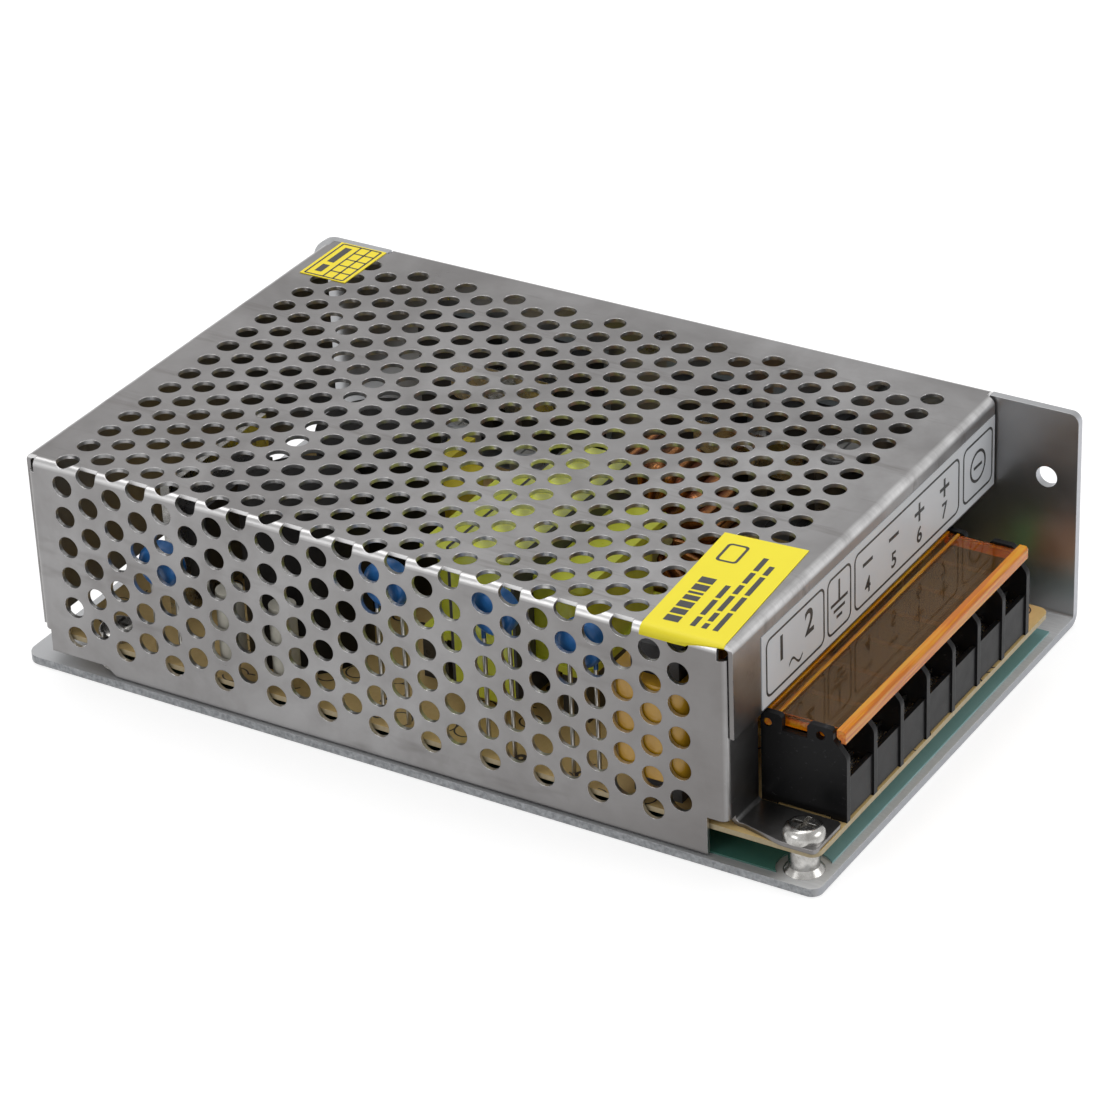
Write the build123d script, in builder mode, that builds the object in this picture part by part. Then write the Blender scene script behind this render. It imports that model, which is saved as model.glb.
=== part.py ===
from build123d import *
import math
import os

os.makedirs("parts", exist_ok=True)

# A caged switching power supply: a folded chassis, a folded perforated cover, a circuit board on
# standoffs, and a seven-way screw terminal block with a hinged amber cover at the front.
# Millimetres. X runs along the terminals, -Y is the terminal end and Z is up from the base.

# Case
case_length = 159.0
case_width = 98.0
case_height = 42.0

front = -case_length / 2
left = -case_width / 2
right = case_width / 2


def at(x, depth):
    """A place on the plan: x, and how far behind the front edge of the base."""
    return (x, front + depth)


# Chassis, one folded sheet
chassis_sheet = 1.5
chassis_bend = 0.8
base_front_corner = 2.0
base_rear_corner = 3.0
wall_front_corner = 1.8
wall_rear_corner = 5.0
wall_hole_radius = 2.0
wall_hole_depth = 5.85
wall_hole_height = 28.6
wall_relief_front = 17.0
wall_relief_rear = 142.0
mount_hole_radius = 1.65
mount_spacing_x = 60.0
mount_spacing_y = 120.0
mount_centre_depth = 78.0

wall_face = right - chassis_sheet

# Circuit board, its standoffs and screws, and the film under it
board_thickness = 1.0
board_bottom = 6.1
board_side_gap = 2.0
power_side_gap = 9.3
board_left = left + board_side_gap
board_right = right - power_side_gap
board_front = 1.0
board_rear = 151.5
board_corner = 2.0
standoff_radius = 2.65
standoff_side_gap = 5.0
standoff_rear_gap = 6.0
standoff_power_gap = 13.5
collar_radius = 3.5
collar_height = 1.0
standoff_spigot_radius = 1.9
thread_radius = 1.5
thread_clearance = 0.05
standoff_places = [
    (left + standoff_side_gap, 5.0),
    (left + standoff_rear_gap, 142.0),
    (right - standoff_power_gap, 142.0),
    (right - standoff_power_gap, 88.0),
]
film_thickness = 0.3
film_margin = 1.2
film_front = 1.6
film_rear = 141.0
film_hole_radius = 4.7
board_screw_head_radius = 3.6
board_screw_head_height = 2.3

board_top = board_bottom + board_thickness

# Cover, one folded perforated sheet
cover_sheet = 0.8
cover_bend = 0.7
cover_inset = 0.7
cover_front = 15.75
cover_rear = 155.4
cover_wall_gap = 0.1
cover_flange = 8.0
cover_foot_gap = 0.3
lap_front = 17.5
lap_rear = 141.5
lip_bottom = 24.6
lip_left_gap = 1.7
lip_right_gap = 2.0
rear_flange_bottom = 7.8
rear_flange_side_gap = 2.0
nest_gap = 0.1
side_flange_width = 10.5
side_flange_bottom = 9.0
side_flange_drop = 2.7
rear_side_flange_width = 7.0
tab_side_gap = 1.6
tab_neck_gap = 3.4
tab_front = 1.2
tab_taper = 7.7
tab_corner = 1.0
front_notch_depth = 20.5
rear_step_start = 139.3
rear_step_end = 141.3
rear_step_height = 3.5
rear_step_rear = 152.9
cover_screw_depths = [38.0, 84.0, 130.0]
cover_screw_drop = 4.6
cover_screw_head_radius = 2.2
cover_screw_length = 5.0

# Perforation: staggered round holes in columns across the roof and down the side wall
hole_radius = 2.06
hole_pitch = 6.04
column_pitch = 5.227
columns = 24
seams = [(8, 0.42), (16, 1.18)]
first_column_depth = 147.07
roof_rows = 15
wall_rows = 6
roof_first_row = 2.4
wall_first_row = 4.02
bend_overcut = 0.1

cover_left = left + cover_inset
cover_top = case_height
cover_outer_bend = cover_bend + cover_sheet
cover_foot = chassis_sheet + cover_foot_gap
roof_right = wall_face - cover_wall_gap
lap_face = right + cover_wall_gap
lap_outer = lap_face + cover_sheet
lip_left = left + lip_left_gap
lip_right = right - lip_right_gap
tab_left = left + tab_side_gap
tab_neck = left + tab_neck_gap
side_flange_top = case_height - side_flange_drop
cover_screw_height = case_height - cover_screw_drop
roof_front = cover_front + cover_outer_bend
roof_rear = cover_rear - cover_outer_bend
front_flange_face = cover_front + cover_sheet + nest_gap
rear_flange_face = cover_rear - cover_sheet - nest_gap
side_wall_front = front_flange_face + cover_outer_bend
side_wall_rear = rear_flange_face - cover_outer_bend
side_flange_right = cover_left + side_flange_width
tab_top = board_top + cover_sheet

# Terminal block
ways = 7
barrier = 1.2
block_side_gap = 1.1
adjuster_room = 18.0
block_front = 1.0
block_rear = 16.7
face_recess = 0.3
foot_length = 3.0
foot_height = 0.35
floor_height = 13.0
sill_height = 15.0
sill_thickness = 1.2
back_wall_front = 14.9
back_wall_height = 20.5
barrier_shoulder = 19.5
barrier_slope = 1.15
barrier_round = 2.0
barrier_top = 22.9
barrier_slope_start = 14.2
ear_top = 24.2
ear_gap_front = 8.2
ear_gap_rear = 12.8
ear_gap_bottom = 21.4
ear_front = 3.45
ear_corner = 0.8
pivot_depth = 15.45
pivot_height = 22.3
pivot_radius = 0.7
pivot_clearance = 0.08
spare_hole_depth = 5.8
spare_hole_height = 22.5

block_left = side_flange_right + block_side_gap
way_pitch = (right - adjuster_room - block_left - barrier) / ways
block_width = ways * way_pitch + barrier
block_right = block_left + block_width
bay_width = way_pitch - barrier
way_centres = [block_left + barrier / 2 + way_pitch * (k + 0.5) for k in range(ways)]

# Terminal plates, clamps and screws
plate_thickness = 0.8
plate_side_gap = 0.35
plate_front = 2.6
plate_rear = 14.6
tail_width = 3.0
tail_thickness = 1.0
tail_depth = 13.2
tail_clearance = 0.1
screw_depth = 8.6
screw_radius = 1.7
screw_clearance = 0.05
screw_bore_radius = 2.1
screw_tip_height = 9.0
screw_tip_room = 0.5
head_radius = 3.2
head_height = 2.3
head_round = 0.7
recess_length = 4.2
recess_width = 0.8
recess_depth = 1.2
clamp_side_gap = 0.4
clamp_flat = 3.3
clamp_wing = 0.9
clamp_rise = 0.6
clamp_sheet = 0.9
seat_gap = 0.02

# Hinged amber cover over the terminals
lid_plate_bottom = 23.0
lid_plate_thickness = 0.8
lid_rib_height = 0.3
lid_rib_width = 0.5
lid_rear = 16.2
lid_second_rib = 13.7
lid_end_gap = 0.2
lid_bead_front = 1.3
lid_bead_rear = 2.9
lid_bead_bottom = 22.0
lid_bead_top = 24.3
lid_bead_lip = 2.1
lid_bead_hook = 0.5
lid_bead_round = 0.7
lid_bead_end_gap = 0.2
lid_skirt_thickness = 0.8
lid_skirt_bottom = 21.6
lid_knuckle_radius = 0.95

# Adjuster and indicator beside the block
trimmer_side_gap = 13.0
trimmer_depth = 8.5
trimmer_size = 6.6
trimmer_height = 4.8
rotor_radius = 1.6
rotor_seat = 1.6
rotor_stand = 0.5
rotor_clearance = 0.06
rotor_slot_width = 0.6
rotor_slot_depth = 0.8
led_depth = 14.4
led_radius = 1.5
led_flange_radius = 1.9
led_flange_height = 1.0
led_body_height = 3.8

trimmer_x = right - trimmer_side_gap

# Transformer
transformer_x = -15.5
transformer_depth = 70.0
core_length = 41.0
core_thickness = 13.0
core_bottom = 10.5
core_roof_gap = 2.7
core_yokes = 10.5
core_outer_leg = 6.0
core_centre_leg = 12.0
bobbin_wall = 1.0
bobbin_clearance = 0.15
bobbin_flange = 1.2
winding_depth = 31.0
rail_depth = 5.0

core_height = case_height - cover_sheet - core_roof_gap - core_bottom
core_window_height = core_height - core_yokes

# Parts that stand on the board
driver_x = right - 31.5
driver_length = 16.0
input_capacitor_gap = 2.0
input_capacitor_side_gap = 7.0
input_capacitor_driver_gap = 4.0
input_capacitor_roof_gap = 2.6
input_capacitor_depth = 110.0
output_capacitor_radius = 5.0
output_capacitor_height = 25.0
output_capacitor_places = [
    (right - 36.5, 27.0),
    (right - 25.5, 27.0),
    (right - 14.6, 27.0),
    (right - 14.6, 39.0),
]
can_round = 0.8
small_capacitor_radius = 3.15
small_capacitor_height = 11.5
small_capacitor_places = [(right - 19.0, 102.0), (right - 27.0, 96.0), (right - 15.0, 118.0)]
disc_radius = 4.3
disc_thickness = 3.8
disc_side_gap = 1.4
disc_places = [
    (45.5, case_height - 9.0),
    (62.0, case_height - 7.5),
    (83.0, case_height - 8.0),
    (130.0, case_height - 17.0),
]
lead_radius = 0.4
lead_spacing = 5.0
post_resistor_radius = 2.4
post_resistor_bottom = 11.0
post_resistor_height = 13.0
post_resistor_side_gap = 0.7
post_resistor_depths = [105.0, 116.0]
choke_x = left + 16.0
choke_depth = 32.0
choke_length = 22.0
choke_width = 9.0
choke_height = 29.0
choke_leg = 5.5
choke_coil_build = 3.2
x_capacitor_depth = 32.0
x_capacitor_choke_gap = 0.8
x_capacitor_side_gap = 1.5
x_capacitor_width = 10.0
x_capacitor_height = 17.0
thermistor_x = -12.0
thermistor_depth = 43.5
thermistor_radius = 6.0
thermistor_thickness = 4.6
thermistor_height = 16.5
fuse_x = -14.0
fuse_depth = 20.8
fuse_length = 20.0
fuse_radius = 2.5
fuse_cap = 5.0
fuse_height = 12.0
clip_sheet = 0.6
clip_width = 4.4
toroid_x = right - 32.5
toroid_depth = 66.0
toroid_outer_radius = 12.0
toroid_inner_radius = 7.0
toroid_thickness = 9.0
toroid_wire = 1.6
toroid_wound_angle = 310.0
toroid_lead_angle = 33.0
sink_depth = 136.0
sink_left = -34.0
sink_length = 30.0
sink_thickness = 2.0
sink_height = 27.0
bridge_length = 22.0
bridge_thickness = 3.6
bridge_body_height = 15.0
bridge_lift = 6.0
driver_depth = 112.0
driver_width = 12.0
driver_height = 14.0
chip_places = [(right - 22.0, 88.0)]
chip_pins = 4
chip_length = 9.6
chip_width = 6.4
chip_height = 3.4
chip_stand = 0.6
chip_pin_pitch = 2.54
coupler_places = [(right - 19.0, 74.0), (right - 19.0, 67.5)]
coupler_pins = 2
coupler_length = 4.6
resistor_places = [
    (right - 18.0, 55.0),
    (right - 18.0, 59.0),
    (right - 41.0, 93.0),
    (right - 41.0, 97.0),
    (right - 21.0, 128.0),
    (right - 21.0, 132.0),
]
resistor_radius = 1.25
resistor_length = 6.6
resistor_lead_span = 10.0

cover_inner = cover_left + cover_sheet
disc_x = cover_inner + disc_side_gap + disc_thickness / 2
post_resistor_x = cover_inner + post_resistor_side_gap + post_resistor_radius
capacitor_left = cover_inner + input_capacitor_side_gap
capacitor_span = driver_x - driver_length / 2 - input_capacitor_driver_gap - capacitor_left
input_capacitor_radius = (capacitor_span - input_capacitor_gap) / 4
input_capacitor_height = case_height - cover_sheet - input_capacitor_roof_gap - board_top
input_capacitor_places = [
    (capacitor_left + input_capacitor_radius, input_capacitor_depth),
    (capacitor_left + capacitor_span - input_capacitor_radius, input_capacitor_depth),
]
x_capacitor_left = choke_x + choke_length / 2 + choke_coil_build + x_capacitor_choke_gap
x_capacitor_right = output_capacitor_places[0][0] - output_capacitor_radius - x_capacitor_side_gap

# Power devices clamped to the chassis wall
pad_thickness = 0.3
pad_margin = 1.0
device_width = 15.6
device_thickness = 4.6
device_screw_gap = 3.4
device_bottom = 12.5
device_height = cover_screw_height - thread_radius - device_screw_gap - device_bottom
device_leg_x = right - 11.4
device_leg_height = 10.0
device_leg_width = 1.2
device_leg_pitch = 5.0
transistor_depths = [103.0, 125.0]
diode_depths = [51.0, 73.0]
bar_height = 8.0
bar_overlap = 8.0
bar_sheet = 1.2
bar_screw_head_radius = 2.8
bar_screw_head_height = 2.2

# Labels
label_thickness = 0.15
front_label_left = left + 11.0
front_label_right = right - 2.2
front_label_bottom = 25.1
front_label_top = case_height - 3.2
top_label_x = left + 17.1
top_label_depth = 25.7
top_label_length = 33.0
top_label_width = 15.2
top_label_turn = 4.0
corner_label_x = right - 8.8
corner_label_depth = 147.1
corner_label_length = 14.2
corner_label_width = 10.0


# Chassis: base and right-hand wall, folded from one sheet
wall_screw_depths = [sum(transistor_depths) / 2, sum(diode_depths) / 2]
wall_screw_height = device_bottom + device_height / 2

with BuildPart() as chassis:
    with BuildSketch(Plane.XZ.offset(-front)) as chassis_section:
        with BuildLine():
            Polyline(
                (left, 0),
                (right, 0),
                (right, case_height),
                (wall_face, case_height),
                (wall_face, chassis_sheet),
                (left, chassis_sheet),
                close=True,
            )
        make_face()
        outer_corner = chassis_section.vertices().sort_by_distance((right, 0))[0]
        fillet(outer_corner, chassis_bend + chassis_sheet)
        inner_corner = chassis_section.vertices().sort_by_distance((wall_face, chassis_sheet))[0]
        fillet(inner_corner, chassis_bend)
    extrude(amount=-case_length)
    upright_edges = chassis.edges().filter_by(Axis.Z)
    fillet(upright_edges.sort_by_distance((left, front, 0))[0], base_front_corner)
    fillet(
        chassis.edges().filter_by(Axis.Z).sort_by_distance((left, front + case_length, 0))[0],
        base_rear_corner,
    )
    cross_edges = chassis.edges().filter_by(Axis.X)
    fillet(cross_edges.sort_by_distance((wall_face, front, case_height))[0], wall_front_corner)
    fillet(
        chassis.edges().filter_by(Axis.X).sort_by_distance((wall_face, -front, case_height))[0],
        wall_rear_corner,
    )
    with BuildSketch(Plane.YZ.offset(wall_face)):
        with Locations((front + wall_hole_depth, wall_hole_height)):
            Circle(wall_hole_radius)
        with Locations(*[(front + d, wall_screw_height) for d in wall_screw_depths]):
            Circle(thread_radius + thread_clearance)
        with Locations(*[(front + d, cover_screw_height) for d in cover_screw_depths]):
            Circle(thread_radius + thread_clearance)
        relief_middle = (
            front + (wall_relief_front + wall_relief_rear) / 2,
            case_height - cover_outer_bend / 2,
        )
        with Locations(relief_middle):
            Rectangle(wall_relief_rear - wall_relief_front, cover_outer_bend)
    extrude(amount=chassis_sheet, mode=Mode.SUBTRACT)
    with BuildSketch(Plane.XY):
        with Locations(*[at(x, d) for x, d in standoff_places]):
            Circle(standoff_spigot_radius + thread_clearance)
        with Locations(at(0, mount_centre_depth)):
            with GridLocations(mount_spacing_x, mount_spacing_y, 2, 2):
                Circle(mount_hole_radius)
    extrude(amount=chassis_sheet, mode=Mode.SUBTRACT)

chassis.part.label = "chassis"
export_step(chassis.part, "parts/chassis.step")

# Cover: roof, side wall, front lip, rear flange, lapped flange and earth tab, folded from one sheet
roof_columns = []
for column in range(columns):
    seam = sum(extra for after, extra in seams if column >= after)
    roof_columns.append(front + first_column_depth - column * column_pitch - seam)
stagger = [(0 if column % 2 == 0 else 0.5) * hole_pitch for column in range(columns)]
roof_holes = [
    (cover_left + roof_first_row + shift + row * hole_pitch, y)
    for y, shift in zip(roof_columns, stagger)
    for row in range(roof_rows)
]
wall_holes = [
    (y, cover_top - wall_first_row + shift - row * hole_pitch)
    for y, shift in zip(roof_columns, stagger)
    for row in range(wall_rows)
]

with BuildPart() as cover:
    with BuildSketch(Plane.XZ.offset(-(front + side_wall_front))) as channel:
        with BuildLine():
            Polyline(
                (cover_left, cover_foot),
                (cover_left, cover_top),
                (roof_right, cover_top),
                (roof_right, cover_top - cover_sheet),
                (cover_left + cover_sheet, cover_top - cover_sheet),
                (cover_left + cover_sheet, cover_foot),
                close=True,
            )
        make_face()
        fillet(channel.vertices().sort_by_distance((cover_left, cover_top))[0], cover_outer_bend)
        inside = (cover_left + cover_sheet, cover_top - cover_sheet)
        fillet(channel.vertices().sort_by_distance(inside)[0], cover_bend)
    extrude(amount=-(side_wall_rear - side_wall_front))
    with BuildSketch(Plane.XZ.offset(-(front + roof_front))):
        with BuildLine():
            Polyline(
                (cover_left + cover_outer_bend, cover_top),
                (roof_right, cover_top),
                (roof_right, cover_top - cover_sheet),
                (cover_left + cover_outer_bend, cover_top - cover_sheet),
                close=True,
            )
        make_face()
    extrude(amount=-(roof_rear - roof_front))
    # Lapped flange, turned down outside the chassis wall between the wall's two ears
    with BuildSketch(Plane.XZ.offset(-(front + lap_front))) as lap:
        with BuildLine():
            Polyline(
                (roof_right - cover_sheet, cover_top),
                (lap_outer, cover_top),
                (lap_outer, cover_top - cover_flange),
                (lap_face, cover_top - cover_flange),
                (lap_face, cover_top - cover_sheet),
                (roof_right - cover_sheet, cover_top - cover_sheet),
                close=True,
            )
        make_face()
        fillet(lap.vertices().sort_by_distance((lap_outer, cover_top))[0], cover_outer_bend)
        inside = (lap_face, cover_top - cover_sheet)
        fillet(lap.vertices().sort_by_distance(inside)[0], cover_bend)
    extrude(amount=-(lap_rear - lap_front))
    # Front lip and rear flange, each turned down from the roof
    for face, fold, bottom, start, end in (
        (cover_front, 1, lip_bottom, lip_left, lip_right),
        (
            cover_rear,
            -1,
            rear_flange_bottom,
            cover_left + cover_outer_bend,
            wall_face - rear_flange_side_gap,
        ),
    ):
        outer = front + face
        inner = outer + fold * cover_sheet
        with BuildSketch(Plane.YZ.offset(start)) as turned:
            with BuildLine():
                Polyline(
                    (outer, bottom),
                    (outer, cover_top),
                    (outer + fold * cover_outer_bend, cover_top),
                    (outer + fold * cover_outer_bend, cover_top - cover_sheet),
                    (inner, cover_top - cover_sheet),
                    (inner, bottom),
                    close=True,
                )
            make_face()
            fillet(
                turned.vertices().sort_by_distance((outer, cover_top))[0],
                cover_outer_bend - 0.01,
            )
            fillet(
                turned.vertices().sort_by_distance((inner, cover_top - cover_sheet))[0],
                cover_bend - 0.01,
            )
        extrude(amount=end - start)
    # Side wall's own flanges, turned in behind the lip and inside the rear flange
    for face, fold, start, width, bottom in (
        (front_flange_face, 1, side_wall_front, side_flange_width, side_flange_bottom),
        (rear_flange_face, -1, side_wall_rear, rear_side_flange_width, rear_flange_bottom),
    ):
        outer = front + face
        inner = outer + fold * cover_sheet
        with BuildSketch(Plane.XY.offset(bottom)) as turned:
            with BuildLine():
                Polyline(
                    (cover_left, front + start),
                    (cover_left, outer),
                    (cover_left + width, outer),
                    (cover_left + width, inner),
                    (cover_left + cover_sheet, inner),
                    (cover_left + cover_sheet, front + start),
                    close=True,
                )
            make_face()
            fillet(
                turned.vertices().sort_by_distance((cover_left, outer))[0],
                cover_outer_bend - 0.01,
            )
            fillet(
                turned.vertices().sort_by_distance((cover_left + cover_sheet, inner))[0],
                cover_bend - 0.01,
            )
        extrude(amount=side_flange_top - bottom)
    # Earth tab, turned forward from the front flange to lie on the board under a screw
    tab_back = front + front_flange_face + cover_sheet
    with BuildSketch(Plane.YZ.offset(tab_neck)) as tab_fold:
        with BuildLine():
            Polyline(
                (front + front_flange_face - cover_outer_bend, board_top),
                (tab_back, board_top),
                (tab_back, side_flange_bottom + cover_sheet),
                (tab_back - cover_sheet, side_flange_bottom + cover_sheet),
                (tab_back - cover_sheet, tab_top),
                (front + front_flange_face - cover_outer_bend, tab_top),
                close=True,
            )
        make_face()
        fillet(tab_fold.vertices().sort_by_distance((tab_back, board_top))[0], cover_outer_bend)
        fillet(
            tab_fold.vertices().sort_by_distance((tab_back - cover_sheet, tab_top))[0],
            cover_bend,
        )
    extrude(amount=side_flange_right - tab_neck)
    tab_shoulder = front_flange_face - cover_outer_bend
    tab_wide = tab_shoulder - tab_taper
    with BuildSketch(Plane.XY.offset(board_top)) as tab_outline:
        with BuildLine():
            Polyline(
                at(side_flange_right, tab_front),
                at(side_flange_right, tab_shoulder),
                at(tab_neck, tab_shoulder),
                at(tab_left, tab_wide),
                at(tab_left, tab_front),
                close=True,
            )
        make_face()
        fillet(tab_outline.vertices().group_by(Axis.Y)[0], tab_corner)
        with Locations(at(*standoff_places[0])):
            Circle(thread_radius + thread_clearance, mode=Mode.SUBTRACT)
    extrude(amount=cover_sheet)
    # Side wall's lower edge: raised at the front and stepped at the rear
    with BuildSketch(Plane.YZ.offset(cover_left - cover_sheet)) as foot_cuts:
        with BuildLine():
            Polyline(
                (front + side_wall_front - 1, 0),
                (front + front_notch_depth, 0),
                (front + front_notch_depth, side_flange_bottom),
                (front + side_wall_front - 1, side_flange_bottom),
                close=True,
            )
        make_face()
        with BuildLine():
            Polyline(
                (front + rear_step_start, 0),
                (front + rear_step_start, cover_foot),
                (front + rear_step_end, rear_step_height),
                (front + rear_step_rear, rear_step_height),
                (front + rear_step_rear, rear_flange_bottom),
                (front + cover_rear + 1, rear_flange_bottom),
                (front + cover_rear + 1, 0),
                close=True,
            )
        make_face()
    extrude(amount=2 * cover_sheet + cover_bend / 2, mode=Mode.SUBTRACT)
    # Perforation, punched through the roof and the side wall and running over their fold
    with BuildSketch(Plane.XY.offset(cover_top - cover_outer_bend - bend_overcut)):
        with Locations(*roof_holes):
            Circle(hole_radius)
    extrude(amount=cover_outer_bend + 1, mode=Mode.SUBTRACT)
    with BuildSketch(Plane.YZ.offset(cover_left - 1)):
        with Locations(*wall_holes):
            Circle(hole_radius)
    extrude(amount=cover_outer_bend + 1 + bend_overcut, mode=Mode.SUBTRACT)
    with Locations(
        *[
            Plane.YZ.offset(lap_outer) * Location((front + d, cover_screw_height, 0))
            for d in cover_screw_depths
        ]
    ):
        CounterSinkHole(
            thread_radius + thread_clearance,
            cover_screw_head_radius + thread_clearance,
            depth=cover_sheet,
            counter_sink_angle=90,
        )

cover.part.label = "cover"
export_step(cover.part, "parts/cover.step")

# Standoffs, swaged into the base, and the screws that hold the board down on them
standoff_points = [at(x, d) for x, d in standoff_places]

with BuildPart() as standoffs:
    with BuildSketch(Plane.XY.offset(chassis_sheet)):
        with Locations(*standoff_points):
            Circle(standoff_radius)
    extrude(amount=board_bottom - chassis_sheet)
    with Locations(*[(*point, chassis_sheet + collar_height / 2) for point in standoff_points]):
        Cone(collar_radius, standoff_radius, collar_height)
    with BuildSketch(Plane.XY):
        with Locations(*standoff_points):
            Circle(standoff_spigot_radius)
    extrude(amount=chassis_sheet)
    with BuildSketch(Plane.XY):
        with Locations(*standoff_points):
            Circle(thread_radius + thread_clearance)
    extrude(amount=board_bottom, mode=Mode.SUBTRACT)

standoffs.part.label = "standoffs"
export_step(standoffs.part, "parts/standoffs.step")

with BuildPart() as board_screws:
    for point in standoff_points:
        seat = tab_top if point == standoff_points[0] else board_top
        with BuildSketch(Plane.XY.offset(seat)):
            with Locations(point):
                Circle(board_screw_head_radius)
        extrude(amount=board_screw_head_height)
        crown = board_screws.faces(Select.LAST).sort_by(Axis.Z)[-1]
        fillet(crown.edges(), board_screw_head_height * 0.7)
        with BuildSketch(Plane.XY.offset(chassis_sheet)):
            with Locations(point):
                Circle(thread_radius)
        extrude(amount=seat - chassis_sheet)
        with BuildSketch(Plane.XY.offset(seat + board_screw_head_height - recess_depth)):
            with Locations(point):
                Rectangle(recess_length, recess_width)
                Rectangle(recess_width, recess_length)
        extrude(amount=recess_depth, mode=Mode.SUBTRACT)

board_screws.part.label = "board_screws"
export_step(board_screws.part, "parts/board_screws.step")

# Insulating film, lying on the base and cut away round the standoffs
film_left = cover_left + cover_sheet + cover_foot_gap

with BuildPart() as insulation_film:
    with BuildSketch(Plane.XY.offset(chassis_sheet)):
        with BuildLine():
            Polyline(
                at(film_left, film_front),
                at(board_right + film_margin, film_front),
                at(board_right + film_margin, film_rear),
                at(film_left, film_rear),
                close=True,
            )
        make_face()
        with Locations(*standoff_points):
            Circle(film_hole_radius, mode=Mode.SUBTRACT)
    extrude(amount=film_thickness)

insulation_film.part.label = "insulation_film"
export_step(insulation_film.part, "parts/insulation_film.step")

# Circuit board
with BuildPart() as circuit_board:
    with BuildSketch(Plane.XY.offset(board_bottom)) as board_outline:
        with BuildLine():
            Polyline(
                at(board_left, board_front),
                at(board_right, board_front),
                at(board_right, board_rear),
                at(board_left, board_rear),
                close=True,
            )
        make_face()
        fillet(board_outline.vertices(), board_corner)
        with Locations(*standoff_points):
            Circle(thread_radius + thread_clearance, mode=Mode.SUBTRACT)
    extrude(amount=board_thickness)

circuit_board.part.label = "circuit_board"
export_step(circuit_board.part, "parts/circuit_board.step")

# Terminal block, one moulding: body, sill, back wall, barriers and end walls with ears
block_front_y = front + block_front
block_rear_y = front + block_rear
body_bottom = board_top + foot_height
screw_points = [at(x, screw_depth) for x in way_centres]
tail_points = [at(x, tail_depth) for x in way_centres]

with BuildPart() as terminal_block:
    with BuildSketch(Plane.YZ.offset(block_left)):
        with BuildLine():
            Polyline(
                (block_front_y + face_recess, body_bottom),
                (block_front_y + face_recess, sill_height),
                (block_front_y + sill_thickness, sill_height),
                (block_front_y + sill_thickness, floor_height),
                (front + back_wall_front, floor_height),
                (front + back_wall_front, back_wall_height),
                (block_rear_y, back_wall_height),
                (block_rear_y, body_bottom),
                close=True,
            )
        make_face()
    extrude(amount=block_width)
    for k in range(ways + 1):
        is_end = k in (0, ways)
        if is_end:
            crest = [
                (front + ear_front, barrier_shoulder + (ear_front - block_front) * barrier_slope),
                (front + ear_front, ear_top),
                (front + ear_gap_front, ear_top),
                (front + ear_gap_front, ear_gap_bottom),
                (front + ear_gap_rear, ear_gap_bottom),
                (front + ear_gap_rear, ear_top),
                (block_rear_y, ear_top),
            ]
        else:
            crest = [
                (block_front_y + (barrier_top - barrier_shoulder) / barrier_slope, barrier_top),
                (front + barrier_slope_start, barrier_top),
                (block_rear_y, back_wall_height),
            ]
        with BuildSketch(Plane.YZ.offset(block_left + k * way_pitch)) as wall:
            with BuildLine():
                Polyline(
                    (block_front_y, board_top),
                    (block_front_y, barrier_shoulder),
                    *crest,
                    (block_rear_y, board_top),
                    (block_rear_y - foot_length, board_top),
                    (block_rear_y - foot_length, body_bottom),
                    (block_front_y + foot_length, body_bottom),
                    (block_front_y + foot_length, board_top),
                    close=True,
                )
            make_face()
            shoulder = (block_front_y, barrier_shoulder)
            fillet(wall.vertices().sort_by_distance(shoulder)[0], barrier_round)
            if is_end:
                fillet(wall.vertices().group_by(Axis.Y)[-1], ear_corner)
                with Locations((front + pivot_depth, pivot_height)):
                    Circle(pivot_radius + pivot_clearance, mode=Mode.SUBTRACT)
                with Locations((front + spare_hole_depth, spare_hole_height)):
                    Circle(pivot_radius + pivot_clearance, mode=Mode.SUBTRACT)
        extrude(amount=barrier)
    with BuildSketch(Plane.XY.offset(screw_tip_height - screw_tip_room)):
        with Locations(*screw_points):
            Circle(screw_bore_radius)
    extrude(amount=floor_height - screw_tip_height + screw_tip_room, mode=Mode.SUBTRACT)
    with BuildSketch(Plane.XY.offset(body_bottom)):
        with Locations(*tail_points):
            Rectangle(tail_width + 2 * tail_clearance, tail_thickness + 2 * tail_clearance)
    extrude(amount=floor_height - body_bottom, mode=Mode.SUBTRACT)

terminal_block.part.label = "terminal_block"
export_step(terminal_block.part, "parts/terminal_block.step")

# Terminal plates: a tapped plate in each bay with a tail down to the board
with BuildPart() as terminal_plates:
    with BuildSketch(Plane.XY.offset(floor_height)):
        with Locations(*[at(x, (plate_front + plate_rear) / 2) for x in way_centres]):
            Rectangle(bay_width - 2 * plate_side_gap, plate_rear - plate_front)
    extrude(amount=plate_thickness)
    with BuildSketch(Plane.XY.offset(board_top)):
        with Locations(*tail_points):
            Rectangle(tail_width, tail_thickness)
    extrude(amount=floor_height - board_top)
    with BuildSketch(Plane.XY.offset(floor_height)):
        with Locations(*screw_points):
            Circle(screw_radius + screw_clearance)
    extrude(amount=plate_thickness, mode=Mode.SUBTRACT)

terminal_plates.part.label = "terminal_plates"
export_step(terminal_plates.part, "parts/terminal_plates.step")

# Wire clamps and terminal screws, one of each in every bay
clamp_bottom = floor_height + plate_thickness + seat_gap
head_bottom = clamp_bottom + clamp_sheet + seat_gap
screw_y = front + screw_depth

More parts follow.
